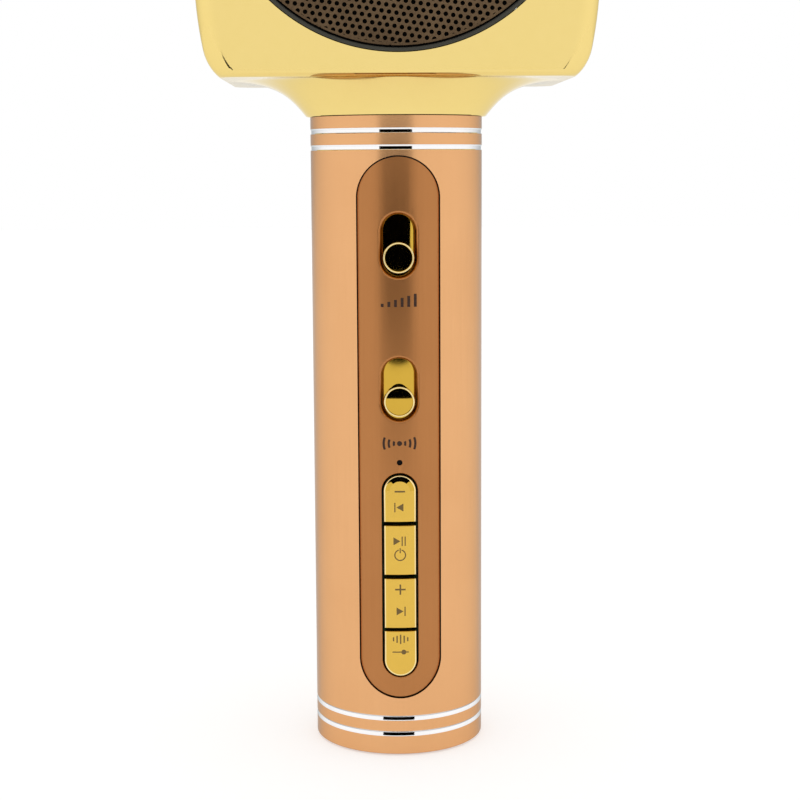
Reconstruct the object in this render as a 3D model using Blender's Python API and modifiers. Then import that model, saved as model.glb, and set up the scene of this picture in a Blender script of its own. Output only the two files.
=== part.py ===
"""Karaoke microphone with a handle, a two-sided speaker head and a capsule basket on top.

Frame: +Z up, the origin at the centre of the base, -Y towards the singer, where the controls are.
All sizes are in metres. Each sub-part is one object in the collection "karaoke_microphone".
"""

import math

import bpy
import bmesh
from mathutils import Matrix, Vector

MM = 0.001
GAP = 0.3 * MM  # clearance that neighbouring pieces keep
FRONT_CUT = (38.0 * MM, 5.0 * MM)  # where a cut through the handle's front wall begins and ends

# Handle tube
TUBE_RADIUS = 19.0 * MM
TUBE_WALL = 1.6 * MM
TUBE_BOTTOM = 0.3 * MM
TUBE_TOP = 140.5 * MM
TUBE_EDGE = 0.6 * MM
RING_TOPS = (137.76 * MM, 134.22 * MM, 9.15 * MM, 5.60 * MM)
RING_WIDTH = 1.15 * MM
RING_DEPTH = 0.25 * MM

# Control panel let into the tube, with its slots
PANEL_RADIUS = 18.5 * MM
PANEL_BACK = 16.9 * MM
PANEL_HALF_WIDTH = 8.85 * MM
PANEL_BOTTOM = 13.3 * MM
PANEL_TOP = 131.8 * MM
SLOT_HALF_WIDTH = 3.7 * MM
SLOT_LENGTH = 13.3 * MM
SLOT_CENTRES = {"volume": 112.9 * MM, "echo": 81.9 * MM}
BUTTON_SLOT_HALF_WIDTH = 3.9 * MM
BUTTON_SLOT_BOTTOM = 17.9 * MM
BUTTON_SLOT_TOP = 63.5 * MM
LIGHT_HEIGHT = 65.9 * MM
LIGHT_RADIUS = 0.6 * MM

# Sliders
SLIDER_TRAVEL = 5.2 * MM
SLIDER_RADIUS = 3.3 * MM
SLIDER_FACE = 19.5 * MM
SLIDER_RIM = 0.45 * MM
SLIDER_DISH = 0.35 * MM
SHOE_HALF_WIDTH = 5.2 * MM
SHOE_LENGTH = 19.2 * MM
SHOE_FRONT = 16.6 * MM
SHOE_BACK = 15.8 * MM
STEM_HALF = (0.7 * MM, 0.9 * MM)
STEM_END = 12.7 * MM
POT_HALF_WIDTH = 3.2 * MM
POT_LENGTH = 20.0 * MM
POT_FRONT = 14.6 * MM
POT_SLOT_HALF_WIDTH = 1.1 * MM
POT_SLOT_FLOOR = 12.2 * MM

# Buttons, from top to bottom: name, lowest point, highest point
BUTTON_SPANS = {
    "previous": (52.8 * MM, 63.1 * MM),
    "play": (41.0 * MM, 52.05 * MM),
    "next": (29.06 * MM, 40.2 * MM),
    "tone": (18.3 * MM, 28.4 * MM),
}
BUTTON_HALF_WIDTH = 3.5 * MM
BUTTON_FACE = 19.05 * MM
BUTTON_BACK = 16.0 * MM
FLANGE_HALF_WIDTH = 4.4 * MM
FLANGE_FRONT = 16.6 * MM
FLANGE_BACK = 15.8 * MM
FLANGE_SETBACK = 0.1 * MM  # how far a flange stops short of its cap's straight ends
POST_RADIUS = 1.2 * MM
POST_END = 13.3 * MM
SWITCH_BODY = (4.6 * MM, 1.6 * MM, 4.6 * MM)
SWITCH_TOP = 12.8 * MM
SWITCH_TOP_RADIUS = 1.1 * MM

# Chassis, board and cell
CHASSIS_RADIUS = 16.7 * MM
CHASSIS_WALL = 1.5 * MM
CHASSIS_BOTTOM = 9.4 * MM
CHASSIS_FLOOR_TOP = 11.4 * MM
CHASSIS_TOP = 151.8 * MM
CHASSIS_FLANGE_RADIUS = 19.5 * MM
CHASSIS_FLANGE_BOTTOM = 150.3 * MM
CHASSIS_WINDOW = (7.2 * MM, 16.9 * MM, 130.0 * MM)
BOARD_FRONT = 10.6 * MM
BOARD_BACK = 9.0 * MM
BOARD_HALF_WIDTH = 10.0 * MM
BOARD_SPAN = (19.0 * MM, 132.0 * MM)
BOARD_SCREW_HEIGHTS = {"lower": 97.0 * MM, "upper": 127.5 * MM}
BOARD_SCREW = (2.0 * MM, 0.75 * MM, 1.3 * MM)  # each screw: head radius, shank radius, head height
BOARD_SCREW_TIP = 4.0 * MM
BOARD_HOLE_RADIUS = 1.1 * MM
BOARD_PILOT_RADIUS = 1.05 * MM
BOARD_PILOT_END = 3.0 * MM
BOSS_RADIUS = 2.6 * MM
CELL_RADIUS = 9.2 * MM
CELL_SPAN = (19.5 * MM, 84.5 * MM)
CELL_OFFSET = 5.4 * MM
CELL_TIP = 1.2 * MM
CAP_SCREW_OFFSET = 13.2 * MM
CAP_BOSS_RADIUS = 3.0 * MM
CAP_BOSS_TOP = 16.3 * MM
CAP_SCREW_WAY = 1.3 * MM
CAP_SCREW = (1.9 * MM, 0.95 * MM, 1.0 * MM)
CAP_SCREW_SPAN = (1.5 * MM, 14.5 * MM)
CAP_PILOT_RADIUS = 1.25 * MM
CAP_PILOT_TOP = 15.5 * MM
CAP_SINK_RADIUS = 2.3 * MM
CAP_SINK_DEPTH = 1.6 * MM

# Bottom cap and ports
CAP_RADIUS = 17.1 * MM
CAP_FLOOR = 2.5 * MM
CAP_EDGE = 0.4 * MM
CAP_SKIRT_WALL = 1.6 * MM
CAP_SKIRT_TOP = 9.0 * MM
PORT_BOARD_RADIUS = 15.0 * MM
PORT_BOARD_SPAN = (6.0 * MM, 7.2 * MM)
SOCKET_TOP = 5.7 * MM
SOCKET_RECESS = 0.7 * MM
CHARGE_SIZE = (7.6 * MM, 2.8 * MM)
CHARGE_MOUTH = (6.4 * MM, 1.6 * MM)
CARD_SIZE = (2.2 * MM, 12.6 * MM)
CARD_MOUTH = (1.0 * MM, 11.4 * MM)
CARD_OFFSET = 9.2 * MM
AUDIO_OFFSET = -9.6 * MM
AUDIO_BODY = 7.0 * MM
AUDIO_NECK_RADIUS = 2.5 * MM
AUDIO_BORE_RADIUS = 1.8 * MM
SOCKET_MOUTH_TOP = 4.8 * MM

# Speaker head
HEAD_BOTTOM = 148.0 * MM
SPEAKER_HEIGHT = 191.2 * MM
HEAD_TOP = 2 * SPEAKER_HEIGHT - HEAD_BOTTOM
HEAD_HALF_DEPTH = 28.0 * MM
HEAD_ROLL = (2.4 * MM, 1.3 * MM)  # how far the front edge rolls in, and over what height
HEAD_WALL = 2.0 * MM
HEAD_CORNER = 4.5 * MM  # radius of the head's corners in plan
CORNER_CENTRE = (30.37 * MM, 155.65 * MM)
CORNER_RADIUS = 10.12 * MM
SIDE_CENTRE = (-43.12 * MM, 170.01 * MM)
SIDE_RADIUS = 85.0 * MM
CORNER_TOP = 153.71 * MM
NECK_BOTTOM = 140.8 * MM
NECK_WIDTHS = (19.9 * MM, 23.2 * MM, 26.2 * MM, 36.5 * MM)  # control points of the side flare
NECK_DEPTHS = (19.9 * MM, 21.6 * MM, 23.5 * MM, 25.6 * MM)  # and of the front flare
NECK_HEIGHTS = (140.8 * MM, 144.6 * MM, 148.0 * MM, 148.0 * MM)
NECK_BORE = 17.3 * MM
CROWN_RADII = (26.0 * MM, 26.6 * MM)  # round crown that carries the basket: at its top and foot
CROWN_TOP = 235.0 * MM
CROWN_BORE = 21.5 * MM
CROWN_WALL = 2.0 * MM
HEAD_RISES = (0.0, 0.35 * MM, 1.3 * MM, 3.0 * MM, 5.71 * MM, 12.0 * MM, 22.01 * MM)  # of its lower rings
LEDGE_RADIUS = 15.0 * MM
LEDGE_SPAN = (226.7 * MM, 228.7 * MM)

# Loudspeakers, measured outwards from the middle of the head
OPENING_RADIUS = 38.5 * MM
TRIM_OUTER = 38.2 * MM
TRIM_INNER = 37.5 * MM
TRIM_LEDGE = 34.8 * MM
TRIM_SPAN = (25.1 * MM, 25.9 * MM, 28.25 * MM)
GRILLE_RADIUS = 37.2 * MM
GRILLE_SPAN = (26.2 * MM, 27.1 * MM)
CLOTH_RADIUS = 34.4 * MM
CLOTH_SPAN = (25.4 * MM, 25.8 * MM)
FRAME_RADIUS = 38.0 * MM
FRAME_MOUTH = 33.0 * MM
FRAME_SPAN = (10.8 * MM, 12.0 * MM, 23.4 * MM, 24.7 * MM)
FRAME_BACK_RADIUS = 16.5 * MM
FRAME_BORE = 8.5 * MM
FRAME_SKIN = 1.2 * MM
EAR_RADIUS = 3.2 * MM
EAR_DISTANCE = 41.0 * MM
EAR_PILOT = 1.1 * MM
EAR_PILOT_SPAN = (20.0 * MM, 26.9 * MM)
EAR_HOLE_SPAN = (20.0 * MM, 30.0 * MM)
EAR_SCREW = (1.9 * MM, 0.8 * MM, 1.2 * MM)
EAR_SCREW_TIP = 26.5 * MM
PAD_END = 26.6 * MM
MAGNET_RADIUS = 15.0 * MM
MAGNET_SPAN = (2.5 * MM, 10.4 * MM)
CONE_MOUTH = 29.0 * MM
CONE_THROAT = 7.5 * MM
CONE_SPAN = (12.0 * MM, 15.2 * MM, 23.6 * MM)
CONE_SKIN = 0.7 * MM

# Basket and capsule
RING_SPAN = (229.0 * MM, 230.6 * MM, 235.3 * MM, 238.5 * MM)
RING_OUTER = 26.6 * MM
RING_SPIGOT = 21.2 * MM
RING_BORE = 19.9 * MM
WEB_BORE = 8.6 * MM
BASKET_CENTRE = 241.0 * MM
BASKET_RADIUS = 26.0 * MM
BASKET_WALL = 1.0 * MM
BASKET_BOTTOM = 238.8 * MM
FOAM_RADIUS = 24.4 * MM
FOAM_WALL = 2.6 * MM
MOUNT_RADII = (5.4 * MM, 8.3 * MM, 10.6 * MM)
MOUNT_SPAN = (227.0 * MM, 230.9 * MM, 232.9 * MM, 243.0 * MM)
CAPSULE_RADIUS = 5.0 * MM
CAPSULE_SPAN = (234.0 * MM, 246.0 * MM)
BASKET_SCREW_OFFSET = 18.0 * MM
BASKET_SCREW = (1.6 * MM, 0.8 * MM, 1.2 * MM)
BASKET_PILOT = 1.1 * MM
BASKET_PILOT_SPAN = (220.0 * MM, 232.0 * MM)

ROUND = 40  # segments of a large round piece
PLAIN = 32  # segments of a round piece inside
SMALL = 12  # segments of a small round piece
CUTTER_PHASE = math.radians(3.7)  # keeps a cutter's corners off the corners of what it cuts
PILOT_STEPS = 10
PILOT_PHASE = math.radians(11.0)  # and a screw hole's off those of the boss round it

# Finishes: colour, roughness, metallic
FINISHES = {
    "rose_gold": ((0.75, 0.39, 0.19), 0.32, 1.0),
    "bronze": ((0.40, 0.17, 0.06), 0.38, 1.0),
    "gold_plating": ((0.86, 0.68, 0.28), 0.08, 1.0),
    "button_gold": ((0.70, 0.48, 0.12), 0.25, 1.0),
    "dark_trim": ((0.05, 0.05, 0.04), 0.40, 0.0),
    "grille_brown": ((0.14, 0.09, 0.05), 0.35, 0.8),
    "dark_plastic": ((0.03, 0.03, 0.03), 0.55, 0.0),
    "black_cloth": ((0.01, 0.01, 0.01), 0.95, 0.0),
    "circuit_board": ((0.02, 0.16, 0.06), 0.45, 0.0),
    "steel": ((0.60, 0.60, 0.60), 0.30, 1.0),
    "cell_wrap": ((0.05, 0.15, 0.45), 0.40, 0.0),
    "foam": ((0.05, 0.05, 0.05), 0.95, 0.0),
    "rubber": ((0.02, 0.02, 0.02), 0.80, 0.0),
    "light_pipe": ((0.50, 0.60, 0.80), 0.20, 0.0),
}


def clear_scene():
    """Removes every object, so that the script gives the same scene each time."""
    for item in list(bpy.data.objects):
        bpy.data.objects.remove(item, do_unlink=True)


def make_collection(name):
    """Returns a new collection, linked to the scene."""
    found = bpy.data.collections.new(name)
    bpy.context.scene.collection.children.link(found)
    return found


def finish(name):
    """Returns the material of this name, and makes it on first use."""
    if name in bpy.data.materials:
        return bpy.data.materials[name]
    colour, roughness, metallic = FINISHES[name]
    material = bpy.data.materials.new(name)
    material.use_nodes = True
    shader = material.node_tree.nodes["Principled BSDF"]
    shader.inputs["Base Color"].default_value = (*colour, 1.0)
    shader.inputs["Roughness"].default_value = roughness
    shader.inputs["Metallic"].default_value = metallic
    return material


class Workshop:
    """Makes the pieces and their cutters, and keeps each in its own collection."""

    def __init__(self, parts, cutters):
        self.parts = parts
        self.cutters = cutters

    def add(self, name, mesh, material=None):
        """Adds a mesh as a piece, or as a cutter where it has no material."""
        item = bpy.data.objects.new(name, mesh)
        if material:
            self.parts.objects.link(item)
            mesh.materials.append(finish(material))
            mesh.shade_smooth()
            mesh.set_sharp_from_angle(angle=math.radians(30))
        else:
            self.cutters.objects.link(item)
            item.hide_render = True
            item.display_type = "WIRE"
        return item

    def turned(self, name, profile, material=None, steps=ROUND, closed=True, phase=CUTTER_PHASE):
        """A profile of (radius, height) points, down its outer side, turned about +Z."""
        mesh = bpy.data.meshes.new(name)
        count = len(profile)
        edges = [(i, i + 1) for i in range(count - 1)]
        if closed:
            edges.append((count - 1, 0))
        start = 0.0 if material else phase
        across, along = math.cos(start), math.sin(start)
        mesh.from_pydata([(r * across, r * along, height) for r, height in profile], edges, [])
        item = self.add(name, mesh, material)
        screw = item.modifiers.new("turn", "SCREW")
        screw.steps = steps
        screw.render_steps = steps
        screw.use_merge_vertices = True
        screw.merge_threshold = 1e-6
        return item

    def cylinder(self, name, radius, low, high, material=None, steps=SMALL):
        """A plain cylinder along +Z, from height low to high."""
        profile = [(0, high), (radius, high), (radius, low), (0, low)]
        return self.turned(name, profile, material, steps, closed=False)

    def hole(self, name, radius, low, high):
        """A cutter for a screw hole along +Z."""
        profile = [(0, high), (radius, high), (radius, low), (0, low)]
        return self.turned(name, profile, steps=PILOT_STEPS, closed=False, phase=PILOT_PHASE)

    def box(self, name, low, high, material=None):
        """A box between two corners."""
        mesh = bpy.data.meshes.new(name)
        shape = bmesh.new()
        bmesh.ops.create_cube(shape, size=1)
        size = Vector(high) - Vector(low)
        middle = (Vector(high) + Vector(low)) / 2
        bmesh.ops.transform(shape, matrix=Matrix.LocRotScale(middle, None, size), verts=shape.verts)
        shape.to_mesh(mesh)
        shape.free()
        return self.add(name, mesh, material)

    def slab(self, name, outline, near, far, material=None):
        """An (x, z) outline, as a solid that runs from y = -near back to y = -far."""
        curve = bpy.data.curves.new(name, "CURVE")
        curve.dimensions = "2D"
        curve.fill_mode = "BOTH"
        curve.extrude = (near - far) / 2
        spline = curve.splines.new("POLY")
        spline.points.add(len(outline) - 1)
        for point, (x, z) in zip(spline.points, outline):
            point.co = (x, z, 0, 1)
        spline.use_cyclic_u = True
        guide = bpy.data.objects.new(name + "_outline", curve)
        self.cutters.objects.link(guide)
        guide.matrix_world = Matrix.Translation((0, -(near + far) / 2, 0)) @ Matrix.Rotation(
            math.radians(90), 4, "X"
        )
        bpy.context.view_layer.update()
        graph = bpy.context.evaluated_depsgraph_get()
        mesh = bpy.data.meshes.new_from_object(guide.evaluated_get(graph))
        mesh.transform(guide.matrix_world)
        bpy.data.objects.remove(guide, do_unlink=True)
        shape = bmesh.new()
        shape.from_mesh(mesh)
        bmesh.ops.remove_doubles(shape, verts=shape.verts, dist=1e-7)
        bmesh.ops.recalc_face_normals(shape, faces=shape.faces)
        shape.to_mesh(mesh)
        shape.free()
        return self.add(name, mesh, material)

    def loft(self, name, rings, material=None):
        """A closed skin over rings of points, from the lowest ring to the highest."""
        mesh = bpy.data.meshes.new(name)
        shape = bmesh.new()
        loops = [[shape.verts.new(point) for point in ring] for ring in rings]
        for lower, upper in zip(loops, loops[1:]):
            for i, corner in enumerate(lower):
                after = (i + 1) % len(lower)
                shape.faces.new((corner, lower[after], upper[after], upper[i]))
        shape.faces.new(reversed(loops[0]))
        shape.faces.new(loops[-1])
        bmesh.ops.recalc_face_normals(shape, faces=shape.faces)
        shape.to_mesh(mesh)
        shape.free()
        return self.add(name, mesh, material)

    @staticmethod
    def combine(item, other, operation):
        """Adds an exact Boolean of this item with another."""
        modifier = item.modifiers.new(operation.lower() + "_" + other.name, "BOOLEAN")
        modifier.operation = operation
        modifier.object = other
        modifier.solver = "EXACT"

    def cut(self, item, *others):
        """Takes each of the others away from the item."""
        for other in others:
            self.combine(item, other, "DIFFERENCE")

    def join(self, item, *others):
        """Joins each of the others to the item."""
        for other in others:
            self.combine(item, other, "UNION")

    def keep(self, item, other):
        """Keeps what the item and the other share."""
        self.combine(item, other, "INTERSECT")


def pill(half_width, bottom, top, steps=12):
    """The (x, z) outline of an upright slot with round ends."""
    points = []
    for middle, start in ((top - half_width, 0.0), (bottom + half_width, math.pi)):
        for i in range(steps + 1):
            angle = start + math.pi * i / steps
            points.append((half_width * math.cos(angle), middle + half_width * math.sin(angle)))
    return points


def facing(item, side, height=SPEAKER_HEIGHT):
    """Turns a piece made along +Z to point out of the head: side -1 to the front, 1 to the rear."""
    item.matrix_world = Matrix.Translation((0, 0, height)) @ Matrix.Rotation(
        -side * math.radians(90), 4, "X"
    )
    return item


def towards_front(item, height, across=0.0):
    """Turns a piece made along +Z to point to -Y, at this height and place across."""
    item.matrix_world = Matrix.Translation((across, 0, height)) @ Matrix.Rotation(
        math.radians(90), 4, "X"
    )
    return item


def sleeve_profile(outer, inner, bottom, top):
    """The closed profile of a plain tube."""
    return [(outer, top), (outer, bottom), (inner, bottom), (inner, top)]


def make_handle(shop):
    """The tube with its four cut rings, and the panel in its window."""
    outer = [(TUBE_RADIUS, TUBE_TOP)]
    for top in RING_TOPS:
        outer.append((TUBE_RADIUS, top))
        outer.append((TUBE_RADIUS - RING_DEPTH, top - RING_WIDTH / 2))
        outer.append((TUBE_RADIUS, top - RING_WIDTH))
    outer.append((TUBE_RADIUS, TUBE_BOTTOM + TUBE_EDGE))
    outer.append((TUBE_RADIUS - TUBE_EDGE, TUBE_BOTTOM))
    bore = TUBE_RADIUS - TUBE_WALL
    tube = shop.turned("handle_tube", outer + [(bore, TUBE_BOTTOM), (bore, TUBE_TOP)], "rose_gold")
    margin = GAP / 2
    window = pill(PANEL_HALF_WIDTH + margin, PANEL_BOTTOM - margin, PANEL_TOP + margin)
    shop.cut(tube, shop.slab("panel_window", window, *FRONT_CUT))

    outline = pill(PANEL_HALF_WIDTH - margin, PANEL_BOTTOM + margin, PANEL_TOP - margin)
    panel = shop.slab("control_panel", outline, *FRONT_CUT, "bronze")
    bend = sleeve_profile(PANEL_RADIUS, PANEL_BACK, 0, TUBE_TOP)
    shop.keep(panel, shop.turned("panel_bend", bend, steps=2 * ROUND))
    for name, middle in SLOT_CENTRES.items():
        half = SLOT_LENGTH / 2
        slot = pill(SLOT_HALF_WIDTH, middle - half, middle + half, steps=8)
        shop.cut(panel, shop.slab(name + "_slot", slot, *FRONT_CUT))
    slot = pill(BUTTON_SLOT_HALF_WIDTH, BUTTON_SLOT_BOTTOM, BUTTON_SLOT_TOP, steps=8)
    shop.cut(panel, shop.slab("button_slot", slot, *FRONT_CUT))
    hole = shop.cylinder("light_hole", LIGHT_RADIUS + GAP, *reversed(FRONT_CUT))
    shop.cut(panel, towards_front(hole, LIGHT_HEIGHT))


def make_light_pipe(shop):
    """A clear pin that carries the indicator's light from the board to the panel."""
    pipe = shop.cylinder(
        "status_light_pipe", LIGHT_RADIUS, BOARD_FRONT + GAP, PANEL_RADIUS - GAP, "light_pipe", 12
    )
    towards_front(pipe, LIGHT_HEIGHT)


def make_slider(shop, name, middle):
    """A slider knob with its shoe and stem, at the bottom of its travel, and its potentiometer."""
    height = middle - SLIDER_TRAVEL / 2
    half = SHOE_LENGTH / 2
    shoe = [
        (-SHOE_HALF_WIDTH, height - half),
        (SHOE_HALF_WIDTH, height - half),
        (SHOE_HALF_WIDTH, height + half),
        (-SHOE_HALF_WIDTH, height + half),
    ]
    knob = shop.slab(name + "_slider_knob", shoe, *FRONT_CUT, "gold_plating")
    bend = sleeve_profile(SHOE_FRONT, SHOE_BACK, 0, TUBE_TOP)
    shop.keep(knob, shop.turned(name + "_shoe_bend", bend, steps=2 * ROUND))
    cap = [
        (0, SLIDER_FACE - SLIDER_DISH),
        (SLIDER_RADIUS - SLIDER_RIM, SLIDER_FACE - SLIDER_DISH),
        (SLIDER_RADIUS - SLIDER_RIM, SLIDER_FACE),
        (SLIDER_RADIUS, SLIDER_FACE),
        (SLIDER_RADIUS, SHOE_BACK + GAP),
        (0, SHOE_BACK + GAP),
    ]
    shop.join(knob, towards_front(shop.turned(name + "_cap", cap, steps=24, closed=False), height))
    wide, tall = STEM_HALF
    stem = shop.box(
        name + "_stem", (-wide, -SHOE_FRONT, height - tall), (wide, -STEM_END, height + tall)
    )
    shop.join(knob, stem)

    reach = POT_LENGTH / 2
    pot = shop.box(
        name + "_potentiometer",
        (-POT_HALF_WIDTH, -POT_FRONT, middle - reach),
        (POT_HALF_WIDTH, -BOARD_FRONT - GAP, middle + reach),
        "steel",
    )
    run = SLIDER_TRAVEL / 2 + tall + 2 * GAP
    shop.cut(
        pot,
        shop.box(
            name + "_track",
            (-POT_SLOT_HALF_WIDTH, -2 * POT_FRONT, middle - run),
            (POT_SLOT_HALF_WIDTH, -POT_SLOT_FLOOR, middle + run),
        ),
    )


def make_button(shop, name, low, high):
    """A button cap with its flange and post, and the tactile switch behind it."""
    first = name == "previous"
    last = name == "tone"
    middle = (low + high) / 2
    ends = (
        low if last else low - 2 * BUTTON_HALF_WIDTH,
        high if first else high + 2 * BUTTON_HALF_WIDTH,
    )
    band = shop.box(name + "_band", (-TUBE_RADIUS, -TUBE_RADIUS * 2, low), (TUBE_RADIUS, 0, high))
    spread = FLANGE_HALF_WIDTH - BUTTON_HALF_WIDTH
    flange_band = shop.box(
        name + "_flange_band",
        (-2 * TUBE_RADIUS, -3 * TUBE_RADIUS, low - spread if last else low + FLANGE_SETBACK),
        (2 * TUBE_RADIUS, MM, high + spread if first else high - FLANGE_SETBACK),
    )
    outline = pill(BUTTON_HALF_WIDTH, *ends, steps=8)
    cap = shop.slab("button_" + name, outline, *FRONT_CUT, "button_gold")
    front = sleeve_profile(BUTTON_FACE, BUTTON_BACK, 0, TUBE_TOP)
    shop.keep(cap, shop.turned(name + "_front", front, steps=2 * ROUND))
    shop.keep(cap, band)
    low_end, high_end = ends[0] - spread, ends[1] + spread
    outline = pill(FLANGE_HALF_WIDTH, low_end, high_end, steps=8)
    flange = shop.slab(name + "_flange", outline, *FRONT_CUT)
    back = sleeve_profile(FLANGE_FRONT, FLANGE_BACK, 0, TUBE_TOP)
    shop.keep(flange, shop.turned(name + "_back", back, steps=2 * ROUND))
    shop.keep(flange, flange_band)
    post = shop.cylinder(name + "_post", POST_RADIUS, POST_END, FLANGE_FRONT - GAP)
    shop.join(cap, flange, towards_front(post, middle))

    wide, deep, tall = SWITCH_BODY
    base = BOARD_FRONT + GAP
    switch = shop.box(
        "switch_" + name,
        (-wide / 2, -base - deep, middle - tall / 2),
        (wide / 2, -base, middle + tall / 2),
        "steel",
    )
    nub = shop.cylinder(name + "_nub", SWITCH_TOP_RADIUS, base + deep / 2, SWITCH_TOP)
    shop.join(switch, towards_front(nub, middle))


def make_chassis(shop):
    """The two chassis halves, with the bosses that take the board and cap screws."""
    inner = CHASSIS_RADIUS - CHASSIS_WALL
    profile = [
        (CHASSIS_FLANGE_RADIUS, CHASSIS_TOP),
        (CHASSIS_FLANGE_RADIUS, CHASSIS_FLANGE_BOTTOM),
        (CHASSIS_RADIUS, CHASSIS_FLANGE_BOTTOM),
        (CHASSIS_RADIUS, CHASSIS_BOTTOM),
        (0, CHASSIS_BOTTOM),
        (0, CHASSIS_FLOOR_TOP),
        (inner, CHASSIS_FLOOR_TOP),
        (inner, CHASSIS_TOP),
    ]
    wide, low, high = CHASSIS_WINDOW
    reach = 2 * CHASSIS_FLANGE_RADIUS
    for name, side in (("front", -1), ("rear", 1)):
        half = shop.turned("chassis_" + name, profile, "dark_plastic", PLAIN)
        near, far = sorted((side * GAP / 2, side * reach))
        boss = shop.cylinder(name + "_cap_boss", CAP_BOSS_RADIUS, CHASSIS_BOTTOM + GAP, CAP_BOSS_TOP)
        boss.location = (0, side * CAP_SCREW_OFFSET, 0)
        core = shop.cylinder(name + "_core", CHASSIS_RADIUS - GAP, 0, CHASSIS_TOP, steps=PLAIN)
        shop.keep(boss, core)
        shop.join(half, boss)
        if side > 0:
            for level, height in BOARD_SCREW_HEIGHTS.items():
                ends = (-CHASSIS_RADIUS + GAP, BOARD_BACK - GAP)
                post = shop.cylinder(level + "_board_boss", BOSS_RADIUS, *ends)
                shop.join(half, towards_front(post, height))
                ends = (BOARD_PILOT_END, 2 * BOARD_BACK)
                pilot = shop.hole(level + "_board_pilot", BOARD_PILOT_RADIUS, *ends)
                shop.cut(half, towards_front(pilot, height))
        shop.keep(half, shop.box(name + "_half", (-reach, near, 0), (reach, far, 2 * CHASSIS_TOP)))
        pilot = shop.hole(name + "_cap_pilot", CAP_PILOT_RADIUS, 0, CAP_PILOT_TOP)
        pilot.location = (0, side * CAP_SCREW_OFFSET, 0)
        shop.cut(half, pilot)
        if side < 0:
            window = shop.box("chassis_window", (-wide, -reach, low), (wide, -FRONT_CUT[1], high))
            shop.cut(half, window)


def make_board_and_cell(shop):
    """The main board, its two screws and the rechargeable cell."""
    low, high = BOARD_SPAN
    board = shop.box(
        "main_board",
        (-BOARD_HALF_WIDTH, -BOARD_FRONT, low),
        (BOARD_HALF_WIDTH, -BOARD_BACK, high),
        "circuit_board",
    )
    for level, height in BOARD_SCREW_HEIGHTS.items():
        hole = shop.hole(level + "_board_hole", BOARD_HOLE_RADIUS, 0, 2 * BOARD_FRONT)
        shop.cut(board, towards_front(hole, height))
        ends = (BOARD_FRONT + GAP, BOARD_SCREW_TIP)
        towards_front(make_screw(shop, "board_screw_" + level, BOARD_SCREW, *ends), height)
    bottom, top = CELL_SPAN
    profile = [
        (0, top),
        (CELL_RADIUS / 3, top),
        (CELL_RADIUS / 3, top - CELL_TIP),
        (CELL_RADIUS, top - CELL_TIP),
        (CELL_RADIUS, bottom),
        (0, bottom),
    ]
    cell = shop.turned("battery_cell", profile, "cell_wrap", 24, closed=False)
    cell.location = (0, CELL_OFFSET, 0)


def make_screw(shop, name, size, seat, tip):
    """A pan-head screw along +Z: its head sits above the seat and its shank ends at the tip."""
    head_radius, shank_radius, head_height = size
    profile = [
        (0, seat + head_height),
        (head_radius * 0.8, seat + head_height),
        (head_radius, seat),
        (shank_radius, seat),
        (shank_radius, tip),
        (0, tip),
    ]
    return shop.turned(name, profile, "steel", SMALL, closed=False)


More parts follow.
